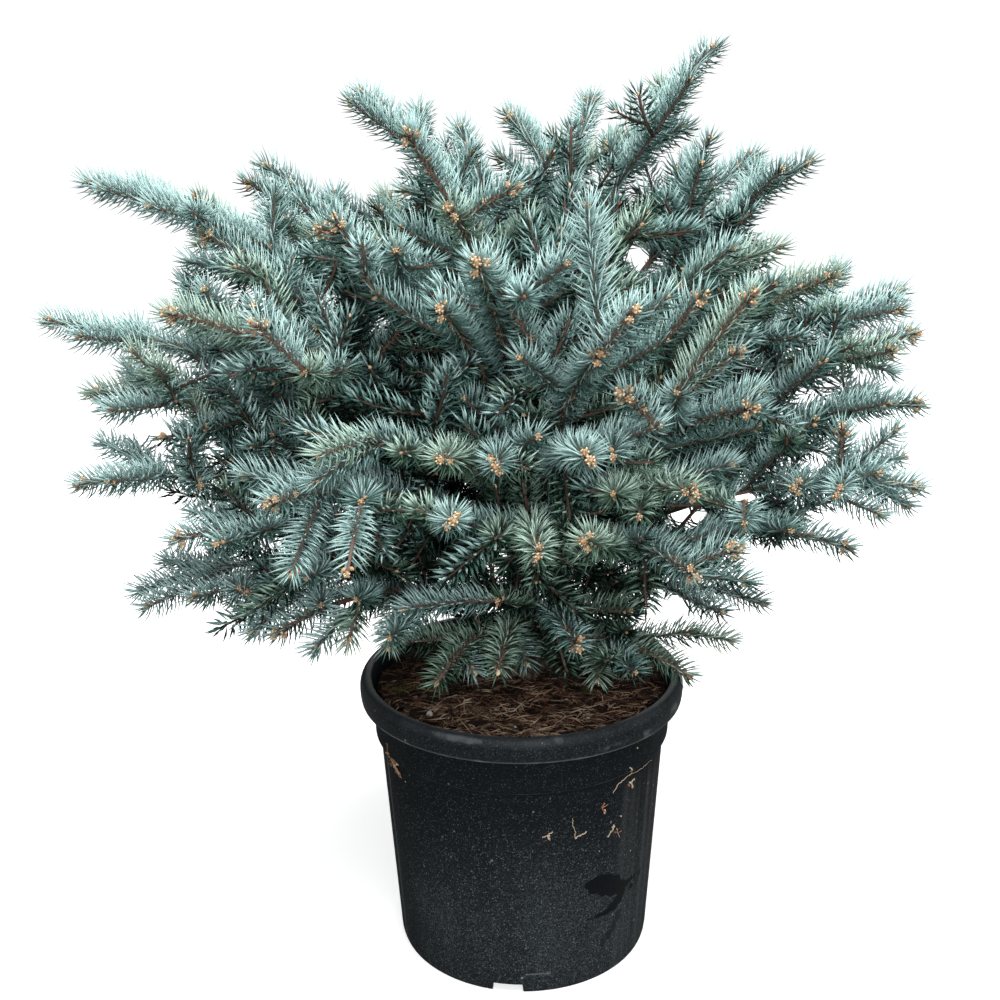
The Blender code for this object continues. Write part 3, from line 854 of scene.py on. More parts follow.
def fork_twigs(crown, rng):
    """A pair of shorter twigs on each long one."""
    for shoot in [s for s in crown.shoots if s.rank == 2 and s.line.length > FORKED_FROM]:
        for turn in (0, 180):
            place = shoot.line.length * rng.uniform(*FORK_PLACES)
            length = shoot.line.length * rng.uniform(*FORK_SIZES)
            angle = rng.uniform(*FORK_ANGLES)
            roll = math.radians(turn + rng.uniform(-FORK_ROLL, FORK_ROLL))
            crown.offer(shoot.branch, twig_line(shoot.line, place, angle, roll, length), 3, TWIG_CLEAR)


def grow_twigs(crown, rng):
    """Finer twigs: along the side shoots, along the stems and inner limbs, then on the longest twigs."""
    for rank, put_along in ((1, side_twigs), (0, stem_twigs)):
        for shoot in [s for s in crown.shoots if s.rank == rank]:
            put_along(crown, shoot, rng)
    fork_twigs(crown, rng)


def fill_crown(crown, rng):
    """Short shoots wherever the crown still has room, but none on the outer part of a leader."""
    for clear in (clear for clear in FILL_CLEARS for i in range(FILL_TRIES)):
        parent = crown.shoots[rng.randrange(len(crown.shoots))]
        length = parent.line.length
        stop = length - LEADER_BARE if parent.rank == 0 else length * FILL_TO
        if parent.leader and parent.rank == 1:
            stop = length - FRONT_LEADER_BARE
        if stop > length * FILL_FROM:
            line = twig_line(parent.line, rng.uniform(length * FILL_FROM, stop), rng.uniform(*FILL_ANGLES),
                             rng.uniform(0, 2 * math.pi), rng.uniform(*FILL_SIZES))
            if crown.holds(line.points[-1]):
                crown.offer(parent.branch, line, 3, clear)


def fill_heart(crown, rng):
    """Plain shoots that close the crown's heart, their needles and bark dark as painted shade."""
    for i in range(INNER_TRIES):
        parent = crown.shoots[rng.randrange(len(crown.shoots))]
        place = parent.line.length * rng.uniform(FILL_FROM, INNER_TO)
        foot = parent.line.point(place)
        if depth_of(foot) < INNER_DEPTH and foot.z > INNER_FROM:
            line = twig_line(parent.line, place, rng.uniform(*INNER_ANGLES), rng.uniform(0, 2 * math.pi),
                             rng.uniform(*INNER_SIZES), INNER_LIFT)
            crown.offer(parent.branch, line, 4, INNER_CLEAR)


def tone_of(shoot, noise):
    """From 0, the bloom on the outer and upper shoots, to 1, the green and painted shade of the inner and
    lower ones.
    """
    tip = shoot.line.points[-1]
    rise = (tip.z - 0.35) / 0.60
    # Darker towards the crown's heart and on the finer ranks: painted shade.
    return (
        1.04 - 0.84 * min(depth_of(tip), 1.1) + 0.10 * rise + 0.36 * max(rise - 0.62, 0)
        + 0.06 * (tip.x + 0.04) / 0.45 + RANK_SHADE[shoot.rank] + shoot.shift + noise
    )


def hues_of(shoot, chance):
    """The colours of a shoot's needles: bluish, and low in the middle of the front oftener greenish."""
    tip = shoot.line.points[-1]
    low = min(max((0.74 - tip.z) / 0.22, 0), 1)
    share = 0.14 + 0.56 * math.exp(-(((tip.x - 0.04) / 0.17) ** 2)) * low
    return GREENISH if chance < share else BLUISH


def soil_cone(reach):
    """The height of the potting soil's even form."""
    return np.interp(reach, SOIL_REACHES, SOIL_HEIGHTS)


def soil_height(x, y):
    """The height of the potting soil's rough surface."""
    rough = np.sin(x * 91 + 1.3) * np.sin(y * 83 + 0.4)
    rough = rough + 0.6 * np.sin(x * 173 + y * 141) + 0.5 * np.sin(y * 211 - x * 97 + 2.0)
    return soil_cone(np.hypot(x, y)) + rough * SOIL_ROUGHNESS


def along(line, places):
    """The places on a line, and its headings there, as rows."""
    marks, track = np.array(line.marks), as_rows(line.points)
    headings = unit(np.gradient(track, axis=0))
    share = np.interp(places, marks, np.arange(len(marks)))
    low = np.minimum(share.astype(int), len(marks) - 2)
    part = (share - low)[:, None]
    points = track[low] * (1 - part) + track[low + 1] * part
    return points, unit(headings[low] * (1 - part) + headings[low + 1] * part)


def across_of(heading):
    """The level direction across each heading, and the upward one."""
    across = np.cross(heading, (0, 0, 1))
    upright = np.linalg.norm(across, axis=1, keepdims=True) < NEARLY_UPRIGHT
    across = unit(np.where(upright, (1.0, 0, 0), across))
    return across, np.cross(across, heading)


def may_stand(mids, tips):
    """Whether each needle is clear of the soil, the pot's rim and the gaps, and near enough to the solids."""
    reach = np.hypot(tips[:, 0], tips[:, 1])
    free = (tips[:, 2] > soil_height(tips[:, 0], tips[:, 1]) + 0.003) | (reach > RIM_RADIUS)
    over_rim = (reach > LIP_RADIUS - 0.004) & (reach < RIM_RADIUS + 0.002)
    free &= ~(over_rim & (tips[:, 2] < POT_HEIGHT + 0.002))
    free &= ~((reach <= RIM_RADIUS + 0.002) & (reach > LIP_RADIUS - 0.006) & (mids[:, 2] < POT_HEIGHT))
    free &= np.all((tips > np.array(cad_low) - NEEDLE_BOX) & (tips < np.array(cad_high) + NEEDLE_BOX), axis=1)
    return free & ~in_gaps(mids, SEE_THROUGH) & ~in_gaps(tips, SEE_THROUGH)


def put_needles(shoot, rng, tone, hues):
    """The needles of one shoot: they stand all round it, more upwards than down, and lean towards its tip."""
    start, stop = shoot.bare, shoot.line.length
    denser = SKIRT_DENSER if shoot.tier == "skirt" and shoot.rank > 1 else 1
    count = int((stop - start) * NEEDLES_PER_METRE[shoot.rank] * denser)
    places = start + (stop - start) * (np.arange(count) + 0.5) / count
    if shoot.rank == 0:
        places = places[(places >= shoot.branch.start) | (rng.random(count) < LIMB_NEEDLES)]
        count = len(places)
    centre, heading = along(shoot.line, places)
    across, rise = across_of(heading)
    turns = np.arange(count) * GOLDEN + rng.normal(0, 0.16, count)
    out = across * np.cos(turns)[:, None] + rise * np.sin(turns)[:, None]
    lift = np.sin(turns)[:, None]
    out = unit(out + rise * 0.25 * (1 - lift) * (lift < 0.4))
    from_foot, to_tip = (places - start)[:, None], (stop - places)[:, None]
    spread = NEEDLE_SPREAD + rng.normal(0, 0.065, (count, 1))
    spread = spread * np.clip(0.42 + to_tip / 0.022, 0, 1)
    aim = heading * np.cos(spread) + out * np.sin(spread)
    length = NEEDLE_SIZES[shoot.rank] * NEEDLE_LENGTH * (0.94 + 0.08 * lift)
    length = length * rng.uniform(0.88, 1.06, (count, 1))
    length = length * np.clip(0.80 + to_tip / 0.040, 0, 1) * np.clip(0.60 + from_foot / 0.025, 0, 1)
    roots = centre + out * 0.0006
    mids = roots + aim * length * 0.50
    later = unit(aim + heading * 0.30 + np.array((0, 0, 0.10)) + rng.normal(0, 0.035, (count, 3)))
    tips = mids + later * length * 0.50
    free = may_stand(mids, tips)
    # Needles on a shoot's upper side get a paler tone and those under it a darker one: a painted highlight
    # and painted shade.
    level = tone - 0.27 * lift[:, 0] + rng.normal(0, 0.12, count)
    band = np.clip((level * len(hues)).astype(int), 0, len(hues) - 1)
    make, thick = (blades, NEEDLE_THICK[0]) if shoot.rank < 2 else (spindles, NEEDLE_THICK[shoot.rank // 2])
    for number, name in enumerate(hues):
        chosen = free & (band == number)
        if chosen.any():
            heap("needles", shoot.tier, name).add(*make(roots[chosen], mids[chosen], tips[chosen], thick))


def put_wood(shoot, rng):
    """The bark of one shoot: on a stem, what is older than last year is darker; ranks 3 and 4 are darker too,
    as painted shade.
    """
    line = shoot.line
    steps = max(3, round((line.length - shoot.foot) / (0.013 if shoot.rank < 2 else 0.022)))
    places = [shoot.foot + (line.length - shoot.foot) * i / steps for i in range(steps + 1)]
    points = as_rows(line.point(place) for place in places)
    thin = 0.0023 if shoot.leader else 0.0018 - 0.0002 * min(shoot.rank, 3)
    foot_thick = 0.0042 if shoot.rank == 0 else 0.0029 if shoot.leader else 0.0021
    thick = [foot_thick + (thin - foot_thick) * (place / line.length) ** 0.8 for place in places]
    sides = (7, 5, 4, 4, 3)[shoot.rank]
    split = sum(place < line.length - LAST_YEAR for place in places) if shoot.rank == 0 else 0
    if split >= 2:
        heap("wood", shoot.tier, "old").add(*tube(points[:split + 1], thick[:split + 1], sides))
        heap("wood", shoot.tier, "young").add(*tube(points[split:], thick[split:], sides))
    else:
        # Ranks 3 and 4 get the darker bark as painted shade.
        heap("wood", shoot.tier, "young" if shoot.rank < 3 else "old").add(*tube(points, thick, sides))
    if shoot.leader:
        put_pegs(shoot, rng)


def put_pegs(shoot, rng):
    """The pegs that a leader's needles stand on."""
    length = min(shoot.line.length - shoot.bare, PEGS_LENGTH)
    count = int(length * PEGS_PER_METRE)
    centre, heading = along(shoot.line, shoot.line.length - rng.random(count) * length)
    across, rise = across_of(heading)
    turns = rng.random(count)[:, None] * 2 * math.pi
    out = across * np.cos(turns) + rise * np.sin(turns)
    roots = centre + out * 0.0008
    tips = roots + (heading * 0.55 + out) * rng.uniform(0.0036, 0.0056, (count, 1))
    heap("wood", shoot.tier, "pegs").add(*spindles(roots, roots * 0.5 + tips * 0.5, tips, 0.00080))


BUD_PROFILE = ((0.0, 0.60), (0.30, 1.0), (0.62, 0.86), (0.88, 0.42))  # places along it, and its width there
SCALES = 11


def bud(root, aim, length, radius, rng, sides=5):
    """A plain ovoid bud."""
    aim = unit(aim)
    side, other = frame_of(aim)
    rows = []
    for i, (place, wide) in enumerate(BUD_PROFILE):
        turns = (np.arange(sides) + 0.5 * (i % 2)) * 2 * math.pi / sides
        scale = radius * wide * (1 + rng.uniform(-0.12, 0.12, sides))
        ring = np.outer(np.cos(turns) * scale, side) + np.outer(np.sin(turns) * scale, other)
        rows.append(root + aim * length * place + ring)
    return lofted(rows, root, root + aim * length)


def put_scaly_bud(tier, root, aim, length, radius, rng):
    """A bud whose dry scales stand off it a little, over a redder heart."""
    aim = unit(aim)
    side, other = frame_of(aim)
    heap("buds", tier, "tan").add(*bud(root, aim, length * 0.92, radius * 0.86, rng, 6))
    turns = np.arange(SCALES)[:, None] * GOLDEN + rng.random() * 6
    rise = np.linspace(0.00, 0.58, SCALES)[:, None]
    wide = np.interp(rise, (0, 0.30, 0.62), (0.62, 0.92, 0.60)) * radius
    out = side * np.cos(turns) + other * np.sin(turns)
    roots = root + aim * length * rise + out * wide * 0.86
    tips = roots + aim * length * 0.40 + out * radius * rng.uniform(0.05, 0.40, (SCALES, 1))
    mids = roots + aim * length * 0.20 + out * radius * 0.20
    pale = rng.random(SCALES) < rng.uniform(0.55, 0.9)
    rust = (np.arange(SCALES) < 3) & (rng.random(SCALES) < 0.7)
    for name, chosen in (("straw", pale & ~rust), ("tan", ~pale & ~rust), ("rust", rust)):
        if chosen.any():
            heap("buds", tier, name).add(*spindles(roots[chosen], mids[chosen], tips[chosen], radius * 0.44))


def put_cluster(shoot, tip, heading, start, rng):
    """A leader's end bud on its swollen tip, and two or three smaller ones round it."""
    side, other = frame_of(heading)
    size, around = rng.uniform(0.72, 0.90), rng.integers(2, 4)
    neck = np.array([tip - heading * 0.010, tip - heading * 0.005, tip])
    heap("wood", shoot.tier, "old").add(*tube(neck, [0.0019, 0.0032, 0.0030], 6))
    put_scaly_bud(shoot.tier, tip - heading * 0.002, heading, 0.0125 * size, 0.0046 * size, rng)
    for i in range(around):
        turn = start + 6.28 * i / around + rng.uniform(-0.3, 0.3)
        out = side * math.cos(turn) + other * math.sin(turn)
        root = tip - heading * (0.005 + 0.003 * rng.random()) + out * 0.0026
        put_scaly_bud(shoot.tier, root, heading * 0.62 + out, 0.0104 * size, 0.0040 * size, rng)


def put_side_buds(shoot, rng):
    """Single buds along the outer part of a leader."""
    line = shoot.line
    place = line.length - rng.uniform(0.026, 0.042)
    while place > max(line.length - 0.15, 0.02):
        centre, run = np.array(line.point(place)), np.array(line.heading(place))
        turn = rng.uniform(0.3, 2.84)
        flat = unit(np.cross(run, (0.0, 0.0, 1.0)))
        out = flat * math.cos(turn) + np.cross(flat, run) * math.sin(turn)
        put_scaly_bud(shoot.tier, centre + out * 0.001, run * 0.6 + out, 0.0066, 0.0025, rng)
        place -= rng.uniform(0.028, 0.060)


def put_plain_buds(shoot, tip, heading, start, rng):
    """An end bud, which a twig has less often than a side shoot, and at most two beside a side shoot's."""
    side, other = frame_of(heading)
    size = (1.0, 0.84, 0.62, 0.54)[shoot.rank] * rng.uniform(0.8, 1.1)
    if shoot.rank == 1:
        put_scaly_bud(shoot.tier, tip - heading * 0.002, heading, 0.0094 * size, 0.0033 * size, rng)
    elif rng.random() < 0.40:
        store = heap("buds", shoot.tier, ("straw", "tan", "rust")[rng.choice(3, p=(0.25, 0.45, 0.30))])
        store.add(*bud(tip - heading * 0.002, heading, 0.0092 * size, 0.0033 * size, rng))
    for i in range((0, rng.integers(0, 3), 0, 0)[shoot.rank]):
        turn = start + math.pi * i + rng.uniform(-0.4, 0.4)
        out = side * math.cos(turn) + other * math.sin(turn)
        root = tip - heading * 0.005 + out * 0.0016
        beside = bud(root, heading * 0.7 + out, 0.0078 * size, 0.0028 * size, rng)
        heap("buds", shoot.tier, "tan").add(*beside)


def put_buds(shoot, rng):
    if shoot.rank == 4:
        return
    tip = np.array(shoot.line.point(shoot.line.length))
    heading = np.array(shoot.line.heading(shoot.line.length))
    start = rng.uniform(0, 6.28)
    if shoot.leader and tip[2] > CLUSTERS_FROM:
        put_cluster(shoot, tip, heading, start, rng)
        put_side_buds(shoot, rng)
    else:
        put_plain_buds(shoot, tip, heading, start, rng)


# Materials

class Nodes:
    """Adds nodes to a material, a node group or the world, and links them."""

    def __init__(self, tree):
        self.tree = tree

    def fill(self, made, inputs):
        """Gives a node's inputs their numbers, colours or vectors, or links them to other nodes' outputs."""
        for label, value in inputs.items():
            socket = made.inputs[label]
            if isinstance(value, bpy.types.NodeSocket):
                self.tree.links.new(value, socket)
            else:
                socket.default_value = (*value, 1) if socket.type == "RGBA" else value
        return made

    def add(self, kind, inputs):
        return self.fill(self.tree.nodes.new("ShaderNode" + kind), inputs)

    def shade(self, inputs):
        self.fill(self.tree.nodes["Principled BSDF"], inputs)

    def place(self):
        return self.add("TexCoord", {}).outputs["Object"]

    def math(self, operation, first, second):
        made = self.tree.nodes.new("ShaderNodeMath")
        made.operation = operation
        return self.fill(made, {0: first, 1: second}).outputs[0]

    def times(self, first, second):
        return self.math("MULTIPLY", first, second)

    def plus(self, first, second):
        return self.math("ADD", first, second)

    def less(self, first, second):
        return self.math("SUBTRACT", first, second)

    def most(self, first, second):
        return self.math("MAXIMUM", first, second)

    def vector(self, operation, inputs):
        made = self.tree.nodes.new("ShaderNodeVectorMath")
        made.operation = operation
        return self.fill(made, inputs)

    def ramp(self, source, low, high):
        """A smooth share from 0 at low to 1 at high."""
        made = self.tree.nodes.new("ShaderNodeMapRange")
        made.interpolation_type = "SMOOTHSTEP"
        return self.fill(made, {"Value": source, "From Min": low, "From Max": high}).outputs["Result"]

    def band(self, value, low, high, soft):
        """A mask that is 1 between two values."""
        return self.times(self.ramp(value, low - soft, low), self.ramp(value, high + soft, high))

    def blend(self, share, first, second):
        made = self.tree.nodes.new("ShaderNodeMix")
        made.data_type = "RGBA"
        return self.fill(made, {0: share, 6: first, 7: second}).outputs[2]

    def noise(self, place, scale, detail=2.0, stretch=None):
        if stretch:
            place = self.add("Mapping", {"Vector": place, "Scale": stretch}).outputs[0]
        return self.add("TexNoise", {"Vector": place, "Scale": scale, "Detail": detail}).outputs["Fac"]

    def placed(self, group, **values):
        made = self.tree.nodes.new("ShaderNodeGroup")
        made.node_tree = group
        return self.fill(made, values)

    def spots(self, group, rows, soft):
        """The mask of several spots together."""
        whole = 0.0
        for centre, size in rows:
            whole = self.most(whole, self.placed(group, Centre=centre, Size=size, Soft=soft).outputs["Mask"])
        return whole

    def bump(self, height, strength, distance):
        made = self.add("Bump", {"Height": height, "Strength": strength, "Distance": distance})
        self.shade({"Normal": made.outputs["Normal"]})

    def show_camera(self, seen, unseen, output):
        """Shows one shader to the camera and gives another to the light."""
        path = self.add("LightPath", {})
        mix = self.add("MixShader", {0: path.outputs["Is Camera Ray"], 1: unseen, 2: seen})
        self.fill(output, {"Surface": mix.outputs[0]})


def new_material(name, colour, roughness, specular):
    material = bpy.data.materials.new(name)
    material.use_nodes = True
    shader = {"Base Color": colour, "Roughness": roughness, "Specular IOR Level": specular}
    Nodes(material.node_tree).shade(shader)
    return material


def group_of(name, inputs, outputs):
    """An empty shader node group: an input without a value is a vector, and all the others are numbers."""
    group = bpy.data.node_groups.new(name, "ShaderNodeTree")
    for label, value in inputs.items():
        kind = "NodeSocketVector" if value is None else "NodeSocketFloat"
        socket = group.interface.new_socket(label, in_out="INPUT", socket_type=kind)
        if value is not None:
            socket.default_value = value
    for label in outputs:
        group.interface.new_socket(label, in_out="OUTPUT", socket_type="NodeSocketFloat")
    given, out = group.nodes.new("NodeGroupInput"), group.nodes.new("NodeGroupOutput")
    return Nodes(group), given.outputs, out


def grit_group():
    """Fine dust specks: a mask of small dots over the surface, and a cloudy one for where dust lies."""
    nodes, given, out = group_of("grit", {"Scale": 400.0, "Amount": 0.1}, ("Specks", "Cloud"))
    place = nodes.place()
    dots = nodes.add("TexVoronoi", {"Vector": place, "Scale": given["Scale"]})
    near = nodes.ramp(dots.outputs["Distance"], 0.42, 0.16)
    level = nodes.add("SeparateColor", {0: dots.outputs["Color"]})
    chosen = nodes.math("LESS_THAN", level.outputs[0], given["Amount"])
    specks = nodes.times(near, nodes.times(chosen, level.outputs[1]))
    nodes.fill(out, {"Specks": specks, "Cloud": nodes.noise(place, 9.0, 6.0)})
    return nodes.tree


def spot_group():
    """A mask that is 1 inside a ragged ellipsoid about a place on the piece."""
    nodes, given, out = group_of("spot", {"Centre": None, "Size": None, "Soft": 0.1}, ("Mask",))
    place = nodes.place()
    away = nodes.vector("SUBTRACT", {0: place, 1: given["Centre"]}).outputs[0]
    share = nodes.vector("DIVIDE", {0: away, 1: given["Size"]}).outputs[0]
    length = nodes.vector("LENGTH", {0: share}).outputs["Value"]
    reach = nodes.plus(length, nodes.times(nodes.noise(place, 110.0), 0.45))
    inner = nodes.math("DIVIDE", nodes.less(1.30, reach), given["Soft"])
    nodes.fill(out, {"Mask": nodes.ramp(inner, -1.0, 1.0)})
    return nodes.tree


def worn_and_highlit_lines(nodes, place, height, turn, spot):
    """Pale lines along the rim's lower edge (a painted highlight), the step and the ridge, a scratch at the
    foot, and scuffs.
    """
    rough = nodes.noise(place, 42.0, 8.0)
    # The line along the rim's lower edge is a painted highlight.
    edge = nodes.plus(nodes.times(nodes.ramp(rough, 0.40, 0.60), 0.6), 0.4)
    edge = nodes.times(nodes.band(height, 0.2938, 0.2956, 0.0010), edge)
    step = nodes.plus(nodes.times(nodes.ramp(rough, 0.42, 0.62), 0.7), 0.3)
    step = nodes.times(nodes.band(height, 0.2503, 0.2516, 0.0009), step)
    patch = nodes.times(nodes.spots(spot, SCUFFS, 0.45), nodes.ramp(rough, 0.46, 0.62))
    sector = nodes.band(turn, math.radians(-90), math.radians(-79.5), 0.01)
    scratch = nodes.times(nodes.band(height, 0.0238, 0.0252, 0.0005), sector)
    under_band = nodes.ramp(height, 0.256, 0.246)
    ridge = nodes.times(nodes.band(turn, math.radians(-160.5), math.radians(-159.0), 0.014), under_band)
    scuffs_and_highlight = edge
    for mask, strength in ((step, 0.42), (patch, 0.6), (scratch, 0.7), (ridge, 0.50)):
        scuffs_and_highlight = nodes.most(scuffs_and_highlight, nodes.times(mask, strength))
    seam = nodes.times(nodes.band(turn, math.radians(-37.0), math.radians(-35.5), 0.03), under_band)
    return scuffs_and_highlight, nodes.most(ridge, seam)


def plastic_material(grit, spot):
    # settled: the grey of the dust and the painted highlight on the rim's top.
    bare, dusty, settled = (0.0030, 0.0052, 0.0066), (0.040, 0.048, 0.053), (0.036, 0.041, 0.044)
    highlight_band_grey, speck_grey, wet_black = (0.044, 0.046, 0.047), (0.32, 0.35, 0.35), (0.0014, 0.0024, 0.0038)
    scuff_and_highlight_grey = (0.17, 0.185, 0.19)
    material = new_material("dusty_black_plastic", (0.010, 0.013, 0.015), 0.55, 0.06)
    nodes = Nodes(material.node_tree)
    times, plus, ramp = nodes.times, nodes.plus, nodes.ramp
    place = nodes.place()
    split = nodes.add("SeparateXYZ", {0: place}).outputs
    height = split["Z"]
    turn = nodes.math("ARCTAN2", split["Y"], split["X"])

    # Dust: more of it down the wall and on the rim, in clouds and in faint upright streaks.
    fine = nodes.placed(grit, Scale=430.0, Amount=0.55).outputs
    tiny = nodes.placed(grit, Scale=760.0, Amount=0.50).outputs
    coarse = nodes.placed(grit, Scale=230.0, Amount=0.014).outputs
    grain = ramp(nodes.noise(place, 640.0, 4.0), 0.42, 0.72)
    rim = nodes.band(height, 0.296, 0.330, 0.004)
    clouds = ramp(fine["Cloud"], 0.30, 0.72)
    streaks = ramp(nodes.noise(place, 26.0, 4.0, (1.0, 1.0, 0.10)), 0.35, 0.70)
    dust = plus(plus(times(ramp(height, 0.24, 0.05), 0.76), times(rim, 0.30)), 0.05)
    dust = times(dust, plus(plus(times(clouds, 0.50), times(streaks, 0.25)), 0.40))
    dust = times(dust, plus(times(grain, 1.60), 0.20))
    colour = nodes.blend(dust, bare, dusty)
    # The rim's rounded top gets dust and a painted highlight; the right side, painted highlights in upright
    # bands.
    rim_top_dust_and_highlight = times(ramp(height, 0.309, 0.317), plus(times(streaks, 0.3), 0.30))
    colour = nodes.blend(rim_top_dust_and_highlight, colour, settled)
    around = nodes.add("CombineXYZ", {0: turn}).outputs[0]
    highlight_strips = ramp(nodes.noise(around, 9.0), 0.42, 0.62)
    right_highlight_bands = times(nodes.band(turn, math.radians(-40), math.radians(-20), 0.26), ramp(height, 0.256, 0.215))
    right_highlight_bands = times(right_highlight_bands, plus(times(highlight_strips, 0.8), times(streaks, 0.2)))
    colour = nodes.blend(times(right_highlight_bands, 0.80), colour, highlight_band_grey)
    # Specks, and marks where water has run
    wet = nodes.spots(spot, WET_MARKS, 0.05)
    wet = nodes.most(wet, times(nodes.spots(spot, DRIPS, 0.25), 0.6))
    speck = plus(times(fine["Specks"], 0.34), times(tiny["Specks"], 0.30))
    speck = times(speck, plus(times(ramp(height, 0.27, 0.12), 0.60), 0.40))
    speck = plus(speck, times(coarse["Specks"], 0.60))
    colour = nodes.blend(times(speck, nodes.less(1.0, times(wet, 0.9))), colour, speck_grey)
    colour = nodes.blend(times(wet, 0.90), colour, wet_black)
    # Wear, and a painted highlight along the rim's lower edge
    scuffs_and_highlight, seam = worn_and_highlit_lines(nodes, place, height, turn, spot)
    colour = nodes.blend(times(scuffs_and_highlight, 0.60), colour, scuff_and_highlight_grey)
    dull = plus(times(clouds, 0.10), nodes.less(0.64, times(rim, 0.18)))
    dull = nodes.less(plus(dull, times(speck, 0.5)), times(wet, 0.20))
    nodes.shade({"Base Color": colour, "Roughness": dull})
    swell = times(nodes.noise(place, 14.0, 3.0, (1.0, 1.0, 0.35)), 2.4)
    relief = plus(plus(times(nodes.noise(place, 900.0), 0.45), times(seam, 1.6)), swell)
    nodes.bump(relief, 0.45, 0.0010)
    return material


def bark_material():
    dark, brown, crack = (0.030, 0.019, 0.014), (0.105, 0.068, 0.046), (0.016, 0.011, 0.008)
    material = new_material("spruce_bark", (0.10, 0.06, 0.04), 0.9, 0.2)
    nodes = Nodes(material.node_tree)
    place = nodes.place()
    long = nodes.add("Mapping", {"Vector": place, "Scale": (1.0, 1.0, 0.45)}).outputs[0]
    scales = nodes.add("TexVoronoi", {"Vector": long, "Scale": 160.0}).outputs["Distance"]
    colour = nodes.blend(nodes.ramp(nodes.noise(place, 60.0, 8.0), 0.35, 0.68), dark, brown)
    colour = nodes.blend(nodes.ramp(scales, 0.35, 0.75), colour, crack)
    nodes.shade({"Base Color": colour})
    nodes.bump(nodes.less(1.0, scales), 0.7, 0.0012)
    return material


def soil_material():
    damp, dry = (0.0035, 0.0024, 0.0020), (0.030, 0.017, 0.011)
    material = new_material("potting_soil", (0.03, 0.018, 0.012), 0.95, 0.05)
    nodes = Nodes(material.node_tree)
    mottle = nodes.noise(nodes.place(), 130.0, 8.0)
    nodes.shade({"Base Color": nodes.blend(nodes.ramp(mottle, 0.35, 0.70), damp, dry)})
    nodes.bump(mottle, 0.8, 0.003)
    return material


# Pot

def wall_radius(height):
    step = POT_HEIGHT - BAND_DEPTH
    if height > POT_HEIGHT - RIM_DEPTH:
        return RIM_RADIUS
    if height > step:
        return BAND_RADIUS - 0.001
    return FOOT_RADIUS + (STEP_RADIUS - FOOT_RADIUS) * max(height, 0) / step


def on_wall(azimuth, height, proud=0.0):
    """A point on the pot's outside, by its direction in degrees and its height."""
    turn = math.radians(azimuth)
    reach = wall_radius(height) + proud
    return (reach * math.cos(turn), reach * math.sin(turn), height)


def marks(*rows):
    """Spots on the wall: a direction, a height, and how wide and how tall each is."""
    return [(on_wall(azimuth, height), (wide, wide, tall)) for azimuth, height, wide, tall in rows]


WET_MARKS = marks(
    (301.2, 0.1243, 0.0120, 0.0105), (305.3, 0.1195, 0.0125, 0.0125), (309.3, 0.1140, 0.0115, 0.0120),
    (313.9, 0.1078, 0.0085, 0.0085), (297.8, 0.1270, 0.0075, 0.0060), (317.7, 0.1072, 0.0048, 0.0040),
    (320.8, 0.1085, 0.0042, 0.0036), (324.5, 0.1085, 0.0044, 0.0038), (328.2, 0.1072, 0.0042, 0.0044),
    (321.8, 0.0981, 0.0036, 0.0032), (326.0, 0.0973, 0.0040, 0.0032), (314.7, 0.0990, 0.0066, 0.0070),
    (313.0, 0.0922, 0.0072, 0.0066), (310.1, 0.0868, 0.0080, 0.0056), (306.4, 0.0840, 0.0066, 0.0036),
    (302.6, 0.0836, 0.0052, 0.0026),
)
DRIPS = marks(
    (298.6, 0.0830, 0.0050, 0.0018), (313.7, 0.0713, 0.0044, 0.0075), (311.5, 0.0610, 0.0040, 0.0075),
    (308.8, 0.0526, 0.0040, 0.0065), (305.5, 0.0459, 0.0036, 0.0060), (214.0, 0.1446, 0.0100, 0.0022),
    (208.5, 0.1380, 0.0040, 0.0090),
)
SCUFFS = marks(
    (311.0, 0.2985, 0.042, 0.0050), (334.0, 0.3030, 0.016, 0.0065), (274.5, 0.3010, 0.018, 0.0045),
    (248.0, 0.3160, 0.030, 0.0026), (284.0, 0.3165, 0.034, 0.0026),
)


def only(thing):
    """Selects one piece and nothing else."""
    bpy.ops.object.select_all(action="DESELECT")
    thing.select_set(True)
    bpy.context.view_layer.objects.active = thing


def rounded(outline):
    """An outline of (radius, height, rounding) with each corner drawn as a short arc."""
    result = []
    last = len(outline) - 1
    for i, (radius, height, size) in enumerate(outline):
        if size == 0 or i in (0, last):
            result.append((radius, height))
            continue
        corner = Vector((radius, height))
        before = Vector(outline[i - 1][:2]) - corner
        after = Vector(outline[i + 1][:2]) - corner
        size = min(size, before.length * 0.48, after.length * 0.48)
        start, end = corner + before.normalized() * size, corner + after.normalized() * size
        for j in range(5):
            t = j / 4
            point = (1 - t) ** 2 * start + 2 * t * (1 - t) * corner + t * t * end
            result.append((point.x, point.y))
    return result


def turned(name, outline, segments):
    """A closed round piece, drawn up ring by ring from a disc: each ring is extruded and then sized."""
    bpy.ops.object.select_all(action="DESELECT")
    radius, height = outline[0]
    place = (0, 0, height)
    bpy.ops.mesh.primitive_circle_add(vertices=segments, radius=radius, fill_type="NGON", location=place)
    thing = bpy.context.active_object
    thing.name = name
    bpy.ops.object.mode_set(mode="EDIT")
    bpy.ops.mesh.select_all(action="SELECT")
    for (low_radius, low), (high_radius, high) in zip(outline, outline[1:]):
        bpy.ops.mesh.extrude_region_move(TRANSFORM_OT_translate={"value": (0, 0, high - low)})
        share = high_radius / low_radius
        bpy.ops.transform.resize(value=(share, share, 1), center_override=(0, 0, high))
    bpy.ops.mesh.select_all(action="SELECT")
    bpy.ops.mesh.normals_make_consistent(inside=False)
    bpy.ops.object.mode_set(mode="OBJECT")
    settle(thing)
    return thing


def settle(thing):
    """Puts a piece's place, turn and size into its mesh."""
    only(thing)
    bpy.ops.object.transform_apply(location=True, rotation=True, scale=True)


